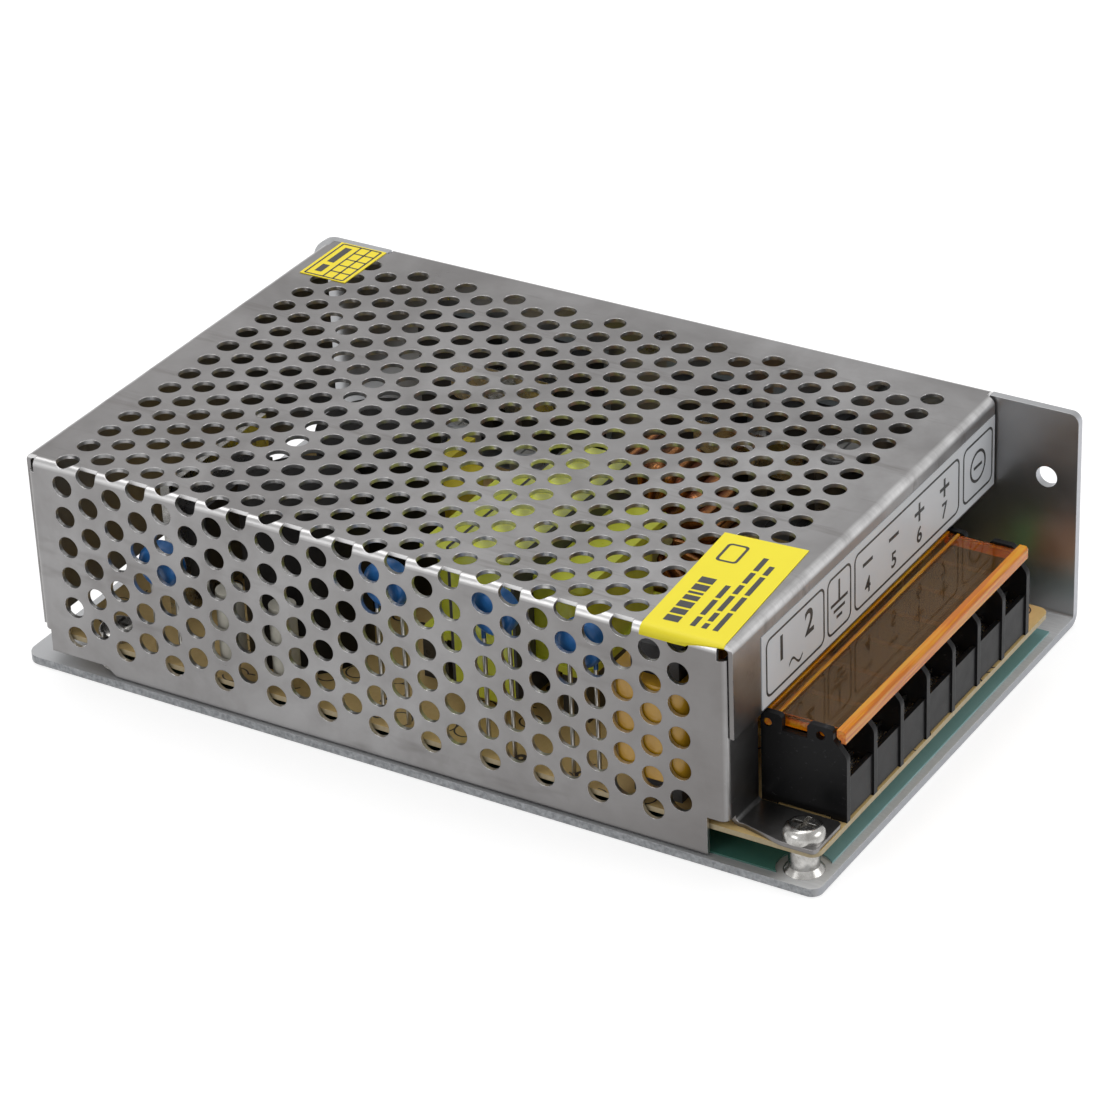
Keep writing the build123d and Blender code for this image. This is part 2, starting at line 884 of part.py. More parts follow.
for k, x in enumerate(way_centres):
    with BuildPart() as wire_clamp:
        with BuildSketch(Plane.YZ.offset(x - bay_width / 2 + clamp_side_gap)):
            with BuildLine():
                Polyline(
                    (screw_y - clamp_flat, clamp_bottom),
                    (screw_y + clamp_flat, clamp_bottom),
                    (screw_y + clamp_flat + clamp_wing, clamp_bottom + clamp_rise),
                    (screw_y + clamp_flat + clamp_wing, clamp_bottom + clamp_rise + clamp_sheet),
                    (screw_y + clamp_flat, clamp_bottom + clamp_sheet),
                    (screw_y - clamp_flat, clamp_bottom + clamp_sheet),
                    (screw_y - clamp_flat - clamp_wing, clamp_bottom + clamp_rise + clamp_sheet),
                    (screw_y - clamp_flat - clamp_wing, clamp_bottom + clamp_rise),
                    close=True,
                )
            make_face()
        extrude(amount=bay_width - 2 * clamp_side_gap)
        with BuildSketch(Plane.XY.offset(clamp_bottom)):
            with Locations((x, screw_y)):
                Circle(screw_radius + screw_clearance)
        extrude(amount=clamp_sheet, mode=Mode.SUBTRACT)
    wire_clamp.part.label = f"wire_clamp_{k + 1}"
    export_step(wire_clamp.part, f"parts/wire_clamp_{k + 1}.step")

    with BuildPart() as terminal_screw:
        with BuildSketch(Plane.XY.offset(head_bottom)):
            with Locations((x, screw_y)):
                Circle(head_radius)
        extrude(amount=head_height)
        fillet(terminal_screw.faces().sort_by(Axis.Z)[-1].edges(), head_round)
        with BuildSketch(Plane.XY.offset(screw_tip_height)):
            with Locations((x, screw_y)):
                Circle(screw_radius)
        extrude(amount=head_bottom - screw_tip_height)
        chamfer(terminal_screw.faces().sort_by(Axis.Z)[0].edges(), screw_radius / 4)
        with BuildSketch(Plane.XY.offset(head_bottom + head_height - recess_depth)):
            with Locations((x, screw_y)):
                Rectangle(recess_length, recess_width)
                Rectangle(recess_width, recess_length)
        extrude(amount=recess_depth, mode=Mode.SUBTRACT)
    terminal_screw.part.label = f"terminal_screw_{k + 1}"
    export_step(terminal_screw.part, f"parts/terminal_screw_{k + 1}.step")

# Hinged cover over the terminals: ribbed plate, front bead, end skirts and pivot pins
lid_left = block_left + barrier + lid_end_gap
lid_right = block_right - barrier - lid_end_gap
lid_top = lid_plate_bottom + lid_plate_thickness
pivot_y = front + pivot_depth

with BuildPart() as terminal_cover:
    with BuildSketch(Plane.YZ.offset(lid_left)):
        with BuildLine():
            Polyline(
                (front + lid_bead_rear - lid_plate_thickness / 2, lid_plate_bottom),
                (front + lid_rear, lid_plate_bottom),
                (front + lid_rear, lid_top + lid_rib_height),
                (front + lid_rear - lid_rib_width, lid_top + lid_rib_height),
                (front + lid_rear - lid_rib_width, lid_top),
                (front + lid_second_rib + lid_rib_width, lid_top),
                (front + lid_second_rib + lid_rib_width, lid_top + lid_rib_height),
                (front + lid_second_rib, lid_top + lid_rib_height),
                (front + lid_second_rib, lid_top),
                (front + lid_bead_rear - lid_plate_thickness / 2, lid_top),
                close=True,
            )
        make_face()
    extrude(amount=lid_right - lid_left)
    with BuildSketch(Plane.YZ.offset(block_left + lid_bead_end_gap)):
        with BuildLine():
            Polyline(
                (front + lid_bead_rear, lid_bead_top),
                (front + lid_bead_rear, lid_plate_bottom),
                (front + lid_bead_lip, lid_bead_bottom + lid_bead_hook),
                (front + lid_bead_lip, lid_bead_bottom),
                (front + lid_bead_front, lid_bead_bottom),
                (front + lid_bead_front, lid_bead_top - lid_bead_round),
            )
            CenterArc(
                (front + lid_bead_front + lid_bead_round, lid_bead_top - lid_bead_round),
                lid_bead_round,
                180,
                -90,
            )
            Line(
                (front + lid_bead_front + lid_bead_round, lid_bead_top),
                (front + lid_bead_rear, lid_bead_top),
            )
        make_face()
    extrude(amount=block_width - 2 * lid_bead_end_gap)
    for start, outward in ((lid_left, -1), (lid_right, 1)):
        with BuildSketch(Plane.YZ.offset(start)):
            with BuildLine():
                Polyline(
                    (front + lid_bead_rear + lid_end_gap, lid_skirt_bottom),
                    (front + lid_rear, lid_skirt_bottom),
                    (front + lid_rear, lid_plate_bottom),
                    (front + lid_bead_rear + lid_end_gap, lid_plate_bottom),
                    close=True,
                )
            make_face()
            with Locations((pivot_y, pivot_height)):
                Circle(lid_knuckle_radius)
        extrude(amount=-outward * lid_skirt_thickness)
        with BuildSketch(Plane.YZ.offset(start)):
            with Locations((pivot_y, pivot_height)):
                Circle(pivot_radius)
        extrude(amount=outward * (barrier + lid_end_gap - lid_bead_end_gap))

terminal_cover.part.label = "terminal_cover"
export_step(terminal_cover.part, "parts/terminal_cover.step")

# Output adjuster: trimmer body on the board and its slotted rotor
trimmer_point = at(trimmer_x, trimmer_depth)
trimmer_top = board_top + trimmer_height

with BuildPart() as trimmer_body:
    with BuildSketch(Plane.XY.offset(board_top)) as trimmer_outline:
        with Locations(trimmer_point):
            RectangleRounded(trimmer_size, trimmer_size, trimmer_size / 12)
    extrude(amount=trimmer_height)
    with BuildSketch(Plane.XY.offset(trimmer_top - rotor_seat)):
        with Locations(trimmer_point):
            Circle(rotor_radius + rotor_clearance)
    extrude(amount=rotor_seat, mode=Mode.SUBTRACT)

trimmer_body.part.label = "trimmer_body"
export_step(trimmer_body.part, "parts/trimmer_body.step")

with BuildPart() as trimmer_rotor:
    with BuildSketch(Plane.XY.offset(trimmer_top - rotor_seat + seat_gap)):
        with Locations(trimmer_point):
            Circle(rotor_radius)
    extrude(amount=rotor_seat + rotor_stand - seat_gap)
    with BuildSketch(Plane.XY.offset(trimmer_top + rotor_stand - rotor_slot_depth)):
        with Locations(trimmer_point):
            Rectangle(2 * rotor_radius, rotor_slot_width)
            with Locations((-rotor_radius / 2, 0)):
                Rectangle(rotor_slot_width, rotor_slot_width * 2)
    extrude(amount=rotor_slot_depth, mode=Mode.SUBTRACT)

trimmer_rotor.part.label = "trimmer_rotor"
export_step(trimmer_rotor.part, "parts/trimmer_rotor.step")

# Indicator lamp
with BuildPart() as indicator_led:
    with BuildSketch(Plane.XY.offset(board_top)):
        with Locations(at(trimmer_x, led_depth)):
            Circle(led_flange_radius)
    extrude(amount=led_flange_height)
    with BuildSketch(Plane.XY.offset(board_top)):
        with Locations(at(trimmer_x, led_depth)):
            Circle(led_radius)
    extrude(amount=led_flange_height + led_body_height)
    fillet(indicator_led.faces().sort_by(Axis.Z)[-1].edges(), led_radius - 0.1)

indicator_led.part.label = "indicator_led"
export_step(indicator_led.part, "parts/indicator_led.step")

# Main transformer: ferrite core, bobbin with pin rails, and taped winding
core_half = core_length / 2
window = core_half - core_outer_leg - core_centre_leg / 2
yoke = (core_height - core_window_height) / 2
window_bottom = core_bottom + yoke
transformer_y = front + transformer_depth
transformer_point = (transformer_x, transformer_y)
tube_x = core_centre_leg + 2 * (bobbin_clearance + bobbin_wall)
tube_y = core_thickness + 2 * (bobbin_clearance + bobbin_wall)
flange_x = core_centre_leg + 2 * window - 2 * bobbin_clearance
flange_y = winding_depth + 2 * bobbin_wall
coil_bottom = window_bottom + bobbin_flange
coil_height = core_window_height - 2 * bobbin_flange

with BuildPart() as transformer_core:
    with BuildSketch(Plane.XZ.offset(-(transformer_y - core_thickness / 2))):
        with Locations((transformer_x, core_bottom + core_height / 2)):
            Rectangle(core_length, core_height)
        window_centre = core_centre_leg / 2 + window / 2
        with Locations(
            (transformer_x - window_centre, window_bottom + core_window_height / 2),
            (transformer_x + window_centre, window_bottom + core_window_height / 2),
        ):
            Rectangle(window, core_window_height, mode=Mode.SUBTRACT)
    extrude(amount=-core_thickness)

transformer_core.part.label = "transformer_core"
export_step(transformer_core.part, "parts/transformer_core.step")

with BuildPart() as transformer_bobbin:
    for height in (window_bottom, coil_bottom + coil_height):
        with BuildSketch(Plane.XY.offset(height)):
            with Locations(transformer_point):
                RectangleRounded(flange_x, flange_y, bobbin_flange)
        extrude(amount=bobbin_flange)
    with BuildSketch(Plane.XY.offset(window_bottom)):
        with Locations(transformer_point):
            Rectangle(tube_x, tube_y)
    extrude(amount=core_window_height)
    with BuildSketch(Plane.XY.offset(board_top)):
        with Locations(
            (transformer_x, transformer_y - (flange_y - rail_depth) / 2),
            (transformer_x, transformer_y + (flange_y - rail_depth) / 2),
        ):
            Rectangle(flange_x, rail_depth)
    extrude(amount=window_bottom - board_top)
    with BuildSketch(Plane.XY.offset(board_top)):
        with Locations(transformer_point):
            Rectangle(
                core_centre_leg + 2 * bobbin_clearance,
                core_thickness + 2 * bobbin_clearance,
            )
    extrude(amount=core_bottom + core_height - board_top, mode=Mode.SUBTRACT)

transformer_bobbin.part.label = "transformer_bobbin"
export_step(transformer_bobbin.part, "parts/transformer_bobbin.step")

with BuildPart() as transformer_winding:
    with BuildSketch(Plane.XY.offset(coil_bottom)):
        with Locations(transformer_point):
            RectangleRounded(flange_x - 2 * bobbin_wall, winding_depth, rail_depth)
            Rectangle(
                tube_x + 2 * bobbin_clearance,
                tube_y + 2 * bobbin_clearance,
                mode=Mode.SUBTRACT,
            )
    extrude(amount=coil_height)

transformer_winding.part.label = "transformer_winding"
export_step(transformer_winding.part, "parts/transformer_winding.step")

# Cans that stand on the board
for name, places, radius, height in (
    ("input_capacitors", input_capacitor_places, input_capacitor_radius, input_capacitor_height),
    ("output_capacitors", output_capacitor_places, output_capacitor_radius, output_capacitor_height),
    ("small_capacitors", small_capacitor_places, small_capacitor_radius, small_capacitor_height),
):
    with BuildPart() as cans:
        with BuildSketch(Plane.XY.offset(board_top)):
            with Locations(*[at(x, d) for x, d in places]):
                Circle(radius)
        extrude(amount=height)
        fillet(cans.faces().group_by(Axis.Z)[-1].edges(), can_round)
    cans.part.label = name
    export_step(cans.part, f"parts/{name}.step")

# Disc capacitors along the side wall, each on two leads
with BuildPart() as disc_capacitors:
    for depth, height in disc_places:
        with BuildSketch(Plane.YZ.offset(disc_x - disc_thickness / 2)):
            with Locations((front + depth, height)):
                Circle(disc_radius)
        extrude(amount=disc_thickness)
        fillet(disc_capacitors.edges(Select.LAST).filter_by(GeomType.CIRCLE), disc_thickness / 3)
        with BuildSketch(Plane.XY.offset(board_top)):
            with Locations(at(disc_x, depth)):
                with GridLocations(1, lead_spacing, 1, 2):
                    Circle(lead_radius)
        extrude(amount=height - board_top)

disc_capacitors.part.label = "disc_capacitors"
export_step(disc_capacitors.part, "parts/disc_capacitors.step")

# Upright power resistors with their leads
with BuildPart() as post_resistors:
    with BuildSketch(Plane.XY.offset(post_resistor_bottom)):
        with Locations(*[at(post_resistor_x, d) for d in post_resistor_depths]):
            Circle(post_resistor_radius)
    extrude(amount=post_resistor_height)
    with BuildSketch(Plane.XY.offset(board_top)):
        with Locations(*[at(post_resistor_x, d) for d in post_resistor_depths]):
            Circle(lead_radius)
    extrude(amount=post_resistor_bottom - board_top)

post_resistors.part.label = "post_resistors"
export_step(post_resistors.part, "parts/post_resistors.step")

# Line choke: rectangular core with a taped coil on each leg
choke_half = (choke_length - choke_leg) / 2
choke_point = at(choke_x, choke_depth)

with BuildPart() as line_choke_core:
    with BuildSketch(Plane.XZ.offset(-(choke_point[1] - choke_width / 2))):
        with Locations((choke_x, board_top + choke_height / 2)):
            Rectangle(choke_length, choke_height)
            Rectangle(
                choke_length - 2 * choke_leg,
                choke_height - 2 * choke_leg,
                mode=Mode.SUBTRACT,
            )
    extrude(amount=-choke_width)

line_choke_core.part.label = "line_choke_core"
export_step(line_choke_core.part, "parts/line_choke_core.step")

with BuildPart() as line_choke_coils:
    with BuildSketch(Plane.XY.offset(board_top + choke_leg)):
        with Locations(choke_point):
            with GridLocations(2 * choke_half, 1, 2, 1):
                RectangleRounded(
                    choke_leg + 2 * choke_coil_build,
                    choke_width + 2 * choke_coil_build,
                    choke_coil_build,
                )
                Rectangle(
                    choke_leg + 2 * bobbin_clearance,
                    choke_width + 2 * bobbin_clearance,
                    mode=Mode.SUBTRACT,
                )
    extrude(amount=choke_height - 2 * choke_leg)

line_choke_coils.part.label = "line_choke_coils"
export_step(line_choke_coils.part, "parts/line_choke_coils.step")

# Suppression capacitor in a moulded box
with BuildPart() as suppression_capacitor:
    with BuildSketch(Plane.XY.offset(board_top)):
        with Locations(at((x_capacitor_left + x_capacitor_right) / 2, x_capacitor_depth)):
            Rectangle(x_capacitor_right - x_capacitor_left, x_capacitor_width)
    extrude(amount=x_capacitor_height)
    fillet(suppression_capacitor.edges().filter_by(Axis.Z), can_round)
    fillet(suppression_capacitor.faces().sort_by(Axis.Z)[-1].edges(), can_round / 2)

suppression_capacitor.part.label = "suppression_capacitor"
export_step(suppression_capacitor.part, "parts/suppression_capacitor.step")

# Surge thermistor, a coated disc on two leads
with BuildPart() as surge_thermistor:
    disc_front = front + thermistor_depth - thermistor_thickness / 2
    with BuildSketch(Plane.XZ.offset(-disc_front)):
        with Locations((thermistor_x, thermistor_height)):
            Circle(thermistor_radius)
    extrude(amount=-thermistor_thickness)
    fillet(surge_thermistor.edges().filter_by(GeomType.CIRCLE), thermistor_thickness / 3)
    with BuildSketch(Plane.XY.offset(board_top)):
        with Locations(at(thermistor_x, thermistor_depth)):
            with GridLocations(lead_spacing, 1, 2, 1):
                Circle(lead_radius)
    extrude(amount=thermistor_height - board_top)

surge_thermistor.part.label = "surge_thermistor"
export_step(surge_thermistor.part, "parts/surge_thermistor.step")

# Fuse with metal end caps, held in two sheet clips
with BuildPart() as fuse:
    with BuildSketch(Plane.YZ.offset(fuse_x - fuse_length / 2)):
        with Locations((front + fuse_depth, fuse_height)):
            Circle(fuse_radius - can_round / 4)
    extrude(amount=fuse_length)
    for start in (fuse_x - fuse_length / 2, fuse_x + fuse_length / 2 - fuse_cap):
        with BuildSketch(Plane.YZ.offset(start)):
            with Locations((front + fuse_depth, fuse_height)):
                Circle(fuse_radius)
        extrude(amount=fuse_cap)

fuse.part.label = "fuse"
export_step(fuse.part, "parts/fuse.step")

with BuildPart() as fuse_clips:
    clip_centre = (front + fuse_depth, fuse_height)
    clip_inner = fuse_radius + thread_clearance
    for side in (-1, 1):
        clip_start = fuse_x + side * (fuse_length - fuse_cap) / 2 - clip_width / 2
        with BuildSketch(Plane.YZ.offset(clip_start)):
            with Locations(clip_centre):
                Circle(clip_inner + clip_sheet)
                Circle(clip_inner, mode=Mode.SUBTRACT)
                with Locations((0, clip_inner + clip_sheet)):
                    Rectangle(
                        2 * (clip_inner + clip_sheet),
                        2 * clip_inner,
                        mode=Mode.SUBTRACT,
                    )
            foot = fuse_height - clip_inner - clip_sheet / 2 - board_top
            with Locations((front + fuse_depth, board_top + foot / 2)):
                Rectangle(2 * clip_sheet, foot)
        extrude(amount=clip_width)

fuse_clips.part.label = "fuse_clips"
export_step(fuse_clips.part, "parts/fuse_clips.step")

# Output choke: a ring core standing on edge, carried by the two ends of its winding
toroid_height = board_top + toroid_outer_radius + toroid_wire
toroid_centre = (toroid_x, front + toroid_depth, toroid_height)
ring_middle = (toroid_outer_radius + toroid_inner_radius) / 2
ring_build = toroid_outer_radius - toroid_inner_radius
unwound_angle = 360 - toroid_wound_angle

with BuildPart() as output_choke_core:
    with BuildSketch(Plane.YZ.offset(toroid_x - toroid_thickness / 2)):
        with Locations(toroid_centre[1:]):
            Circle(toroid_outer_radius)
            Circle(toroid_inner_radius, mode=Mode.SUBTRACT)
    extrude(amount=toroid_thickness)

output_choke_core.part.label = "output_choke_core"
export_step(output_choke_core.part, "parts/output_choke_core.step")

with BuildPart() as output_choke_winding:
    upright = Plane(origin=toroid_centre, x_dir=(1, 0, 0), z_dir=(0, 1, 0))
    with BuildSketch(upright.rotated((180 + unwound_angle / 2, 0, 0))):
        with Locations((0, -ring_middle)):
            RectangleRounded(
                toroid_thickness + 2 * toroid_wire,
                ring_build + 2 * toroid_wire,
                toroid_wire,
            )
            Rectangle(
                toroid_thickness + 2 * bobbin_clearance,
                ring_build + 2 * bobbin_clearance,
                mode=Mode.SUBTRACT,
            )
    revolve(axis=Axis(toroid_centre, (1, 0, 0)), revolution_arc=toroid_wound_angle)
    lead_side = (toroid_thickness + toroid_wire) / 2
    lead_reach = ring_middle * math.sin(math.radians(toroid_lead_angle))
    lead_drop = ring_middle * math.cos(math.radians(toroid_lead_angle))
    with BuildSketch(Plane.XY.offset(board_top)):
        with Locations(
            at(toroid_x + lead_side, toroid_depth + lead_reach),
            at(toroid_x - lead_side, toroid_depth - lead_reach),
        ):
            Circle(toroid_wire / 2)
    extrude(amount=toroid_height - lead_drop - board_top)

output_choke_winding.part.label = "output_choke_winding"
export_step(output_choke_winding.part, "parts/output_choke_winding.step")

# Bridge rectifier against its upright heat sink
with BuildPart() as bridge_heatsink:
    with BuildSketch(Plane.XY.offset(board_top)):
        with Locations(at(sink_left + sink_length / 2, sink_depth)):
            Rectangle(sink_length, sink_thickness)
    extrude(amount=sink_height)

bridge_heatsink.part.label = "bridge_heatsink"
export_step(bridge_heatsink.part, "parts/bridge_heatsink.step")

with BuildPart() as bridge_rectifier:
    bridge_centre = at(
        sink_left + sink_length / 2,
        sink_depth - sink_thickness / 2 - bridge_thickness / 2,
    )
    with BuildSketch(Plane.XY.offset(board_top + bridge_lift)):
        with Locations(bridge_centre):
            Rectangle(bridge_length, bridge_thickness)
    extrude(amount=bridge_body_height)
    chamfer(bridge_rectifier.edges().filter_by(Axis.Z).sort_by(Axis.X)[0], can_round)
    with BuildSketch(Plane.XY.offset(board_top)):
        with Locations(bridge_centre):
            with GridLocations(lead_spacing, 1, 4, 1):
                Rectangle(2 * lead_radius, 2 * lead_radius)
    extrude(amount=bridge_lift)

bridge_rectifier.part.label = "bridge_rectifier"
export_step(bridge_rectifier.part, "parts/bridge_rectifier.step")

# Driver transformer: a small taped coil in a ferrite frame on a pin base
with BuildPart() as driver_transformer:
    driver_point = at(driver_x, driver_depth)
    with BuildSketch(Plane.XY.offset(board_top)):
        with Locations(driver_point):
            Rectangle(driver_length, driver_width)
    extrude(amount=driver_height / 4)
    with BuildSketch(Plane.XY.offset(board_top + driver_height / 4)):
        with Locations(driver_point):
            Rectangle(driver_length, driver_width / 3)
    extrude(amount=driver_height * 3 / 4)
    with BuildSketch(Plane.XY.offset(board_top + driver_height / 4)):
        with Locations(driver_point):
            RectangleRounded(driver_length * 0.7, driver_width, driver_width / 5)
    extrude(amount=driver_height / 2)

driver_transformer.part.label = "driver_transformer"
export_step(driver_transformer.part, "parts/driver_transformer.step")

# Control chip and couplers, in moulded packages with bent legs
for name, places, length, pins in (
    ("control_chip", chip_places, chip_length, chip_pins),
    ("optocouplers", coupler_places, coupler_length, coupler_pins),
):
    with BuildPart() as package:
        for x, depth in places:
            with BuildSketch(Plane.XY.offset(board_top + chip_stand)):
                with Locations(at(x, depth)):
                    Rectangle(chip_width, length)
            extrude(amount=chip_height)
            with BuildSketch(Plane.XY.offset(board_top)):
                with Locations(at(x, depth)):
                    with GridLocations(chip_width + chip_stand, chip_pin_pitch, 2, pins):
                        Rectangle(chip_stand, chip_stand)
            extrude(amount=chip_stand + chip_height / 2)
    package.part.label = name
    export_step(package.part, f"parts/{name}.step")

# Small resistors lying on the board on bent leads
with BuildPart() as resistors:
    lead_height = board_top + resistor_radius + lead_radius
    for x, depth in resistor_places:
        with BuildSketch(Plane.YZ.offset(x - resistor_length / 2)):
            with Locations((front + depth, lead_height)):
                Circle(resistor_radius)
        extrude(amount=resistor_length)
        with BuildLine(Plane.XZ.offset(-(front + depth))) as lead:
            FilletPolyline(
                (x - resistor_lead_span / 2, board_top),
                (x - resistor_lead_span / 2, lead_height),
                (x + resistor_lead_span / 2, lead_height),
                (x + resistor_lead_span / 2, board_top),
                radius=2 * lead_radius,
            )
        with BuildSketch(Plane.XY.offset(board_top)):
            with Locations(at(x - resistor_lead_span / 2, depth)):
                Circle(lead_radius)
        sweep(path=lead.line)

resistors.part.label = "resistors"
export_step(resistors.part, "parts/resistors.step")

# Power devices on insulating pads against the chassis wall
device_back = wall_face - pad_thickness
device_middle = device_back - device_thickness / 2

for name, depths in (
    ("switching_transistors", transistor_depths),
    ("rectifier_diodes", diode_depths),
):
    with BuildPart() as devices:
        for depth in depths:
            with BuildSketch(Plane.YZ.offset(device_back - device_thickness)):
                with Locations((front + depth, wall_screw_height)):
                    Rectangle(device_width, device_height)
            extrude(amount=device_thickness)
            for offset in (-device_leg_pitch, 0, device_leg_pitch):
                leg_start = front + depth + offset - device_leg_width / 2
                with BuildSketch(Plane.XZ.offset(-leg_start)):
                    with BuildLine():
                        Polyline(
                            (device_leg_x, board_top),
                            (device_leg_x, device_leg_height + chip_stand),
                            (device_middle - chip_stand, device_leg_height + chip_stand),
                            (device_middle - chip_stand, device_bottom),
                            (device_middle, device_bottom),
                            (device_middle, device_leg_height),
                            (device_leg_x + chip_stand, device_leg_height),
                            (device_leg_x + chip_stand, board_top),
                            close=True,
                        )
                    make_face()
                extrude(amount=-device_leg_width)
    devices.part.label = name
    export_step(devices.part, f"parts/{name}.step")

with BuildPart() as thermal_pads:
    with BuildSketch(Plane.YZ.offset(device_back)):
        with Locations(
            *[(front + d, wall_screw_height) for d in transistor_depths + diode_depths]
        ):
            Rectangle(device_width + 2 * pad_margin, device_height + 2 * pad_margin)
    extrude(amount=pad_thickness)

thermal_pads.part.label = "thermal_pads"
export_step(thermal_pads.part, "parts/thermal_pads.step")

# Spring bars that press each pair of devices to the wall, and their screws
bar_face = device_back - device_thickness

with BuildPart() as clamp_bars:
    for centre, depths in zip(wall_screw_depths, (transistor_depths, diode_depths)):
        bar_length = depths[1] - depths[0] - device_width + 2 * bar_overlap
        with BuildSketch(Plane.YZ.offset(bar_face - bar_sheet)):
            with Locations((front + centre, wall_screw_height)):
                RectangleRounded(bar_length, bar_height, bar_height / 5)
                Circle(thread_radius + thread_clearance, mode=Mode.SUBTRACT)
        extrude(amount=bar_sheet)

clamp_bars.part.label = "clamp_bars"
export_step(clamp_bars.part, "parts/clamp_bars.step")

with BuildPart() as clamp_screws:
    for centre in wall_screw_depths:
        with BuildSketch(Plane.YZ.offset(bar_face - bar_sheet - bar_screw_head_height)):
            with Locations((front + centre, wall_screw_height)):
                Circle(bar_screw_head_radius)
        extrude(amount=bar_screw_head_height)
        crown = clamp_screws.faces(Select.LAST).sort_by(Axis.X)[0]
        fillet(crown.edges(), bar_screw_head_height / 2)
        with BuildSketch(Plane.YZ.offset(bar_face - bar_sheet)):
            with Locations((front + centre, wall_screw_height)):
                Circle(thread_radius)
        extrude(amount=right - bar_face + bar_sheet)

clamp_screws.part.label = "clamp_screws"
export_step(clamp_screws.part, "parts/clamp_screws.step")

# Countersunk screws that hold the cover's lapped flange to the wall
with BuildPart() as cover_screws:
    for depth in cover_screw_depths:
        screw_origin = (lap_outer, front + depth, cover_screw_height)
        with BuildSketch(Plane(origin=screw_origin, x_dir=(1, 0, 0), z_dir=(0, -1, 0))):
            with BuildLine():
                Polyline(
                    (0, 0),
                    (0, cover_screw_head_radius),
                    (thread_radius - cover_screw_head_radius, thread_radius),
                    (-cover_screw_length, thread_radius),
                    (-cover_screw_length, 0),
                    close=True,
                )
            make_face()
        revolve(axis=Axis(screw_origin, (1, 0, 0)))
        with BuildSketch(Plane.YZ.offset(lap_outer - recess_depth / 2)):
            with Locations(screw_origin[1:]):
                Rectangle(recess_length / 2, recess_width)
                Rectangle(recess_width, recess_length / 2)
        extrude(amount=recess_depth / 2, mode=Mode.SUBTRACT)

cover_screws.part.label = "cover_screws"
export_step(cover_screws.part, "parts/cover_screws.step")

# Self-adhesive labels: connection strip on the lip, a notice and a small sticker on the roof
with BuildPart() as front_label:
    strip_centre = (
        (front_label_left + front_label_right) / 2,
        (front_label_bottom + front_label_top) / 2,
    )
    with BuildSketch(Plane.XZ.offset(-(front + cover_front))):
        with Locations(strip_centre):
            Rectangle(
                front_label_right - front_label_left,
                front_label_top - front_label_bottom,
            )
    extrude(amount=label_thickness)

front_label.part.label = "front_label"
export_step(front_label.part, "parts/front_label.step")

label_left = cover_left - label_thickness
label_bend = cover_outer_bend + label_thickness

with BuildPart() as top_label:
    with BuildSketch(Plane.XZ.offset(-front)) as wrap:
        with BuildLine():
            Line((0, cover_top), (cover_left + cover_outer_bend, cover_top))
            RadiusArc(
                (cover_left + cover_outer_bend, cover_top),
                (cover_left, cover_top - cover_outer_bend),
                -cover_outer_bend,
            )
            Line(
                (cover_left, cover_top - cover_outer_bend),
                (label_left, cover_top - cover_outer_bend),
            )
            RadiusArc(
                (label_left, cover_top - cover_outer_bend),
                (cover_left + cover_outer_bend, cover_top + label_thickness),
                label_bend,
            )
            Polyline(
                (cover_left + cover_outer_bend, cover_top + label_thickness),
                (0, cover_top + label_thickness),
                (0, cover_top),
            )
        make_face()
    extrude(amount=-case_length / 2)
    with BuildSketch(Plane.XY.offset(cover_top - cover_outer_bend)):
        with Locations(Location((*at(top_label_x, top_label_depth), 0), (0, 0, top_label_turn))):
            Rectangle(top_label_length, top_label_width)
    extrude(amount=2 * cover_outer_bend, mode=Mode.INTERSECT)

top_label.part.label = "top_label"
export_step(top_label.part, "parts/top_label.step")

with BuildPart() as corner_label:
    with BuildSketch(Plane.XY.offset(cover_top)):
        with Locations(at(corner_label_x, corner_label_depth)):
            Rectangle(corner_label_length, corner_label_width)
    extrude(amount=label_thickness)

corner_label.part.label = "corner_label"
export_step(corner_label.part, "parts/corner_label.step")
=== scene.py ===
import math

import bmesh
import bpy
from mathutils import Matrix, Vector


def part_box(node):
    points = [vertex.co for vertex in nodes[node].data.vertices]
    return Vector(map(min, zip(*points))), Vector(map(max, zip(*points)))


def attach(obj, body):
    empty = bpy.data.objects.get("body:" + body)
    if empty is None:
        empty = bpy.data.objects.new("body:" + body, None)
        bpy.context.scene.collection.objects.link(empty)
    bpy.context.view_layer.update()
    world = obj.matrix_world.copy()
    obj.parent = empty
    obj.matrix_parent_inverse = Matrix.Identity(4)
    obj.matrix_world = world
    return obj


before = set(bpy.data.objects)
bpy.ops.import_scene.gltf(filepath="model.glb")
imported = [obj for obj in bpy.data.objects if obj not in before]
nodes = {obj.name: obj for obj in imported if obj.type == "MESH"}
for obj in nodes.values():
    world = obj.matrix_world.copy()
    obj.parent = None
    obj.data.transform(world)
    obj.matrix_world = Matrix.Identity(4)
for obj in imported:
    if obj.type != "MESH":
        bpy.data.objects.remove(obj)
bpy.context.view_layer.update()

# A caged switching power supply. Metres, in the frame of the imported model; lengths below are
# written in millimetres and scaled by MM. The terminal end faces -Y.
MM = 0.001
FRONT = -79.5  # front edge of the base
ROOF = 42.0  # outer face of the roof
WALL = -48.3  # outer face of the left wall
BASE = 1.5  # upper face of the base
LIP = FRONT + 15.75  # outer face of the lip above the terminals
PAPER = 0.15  # thickness of a label
LIFT = 0.02  # print stands this far off its paper
PITCH = 9.5  # from terminal to terminal


# Materials


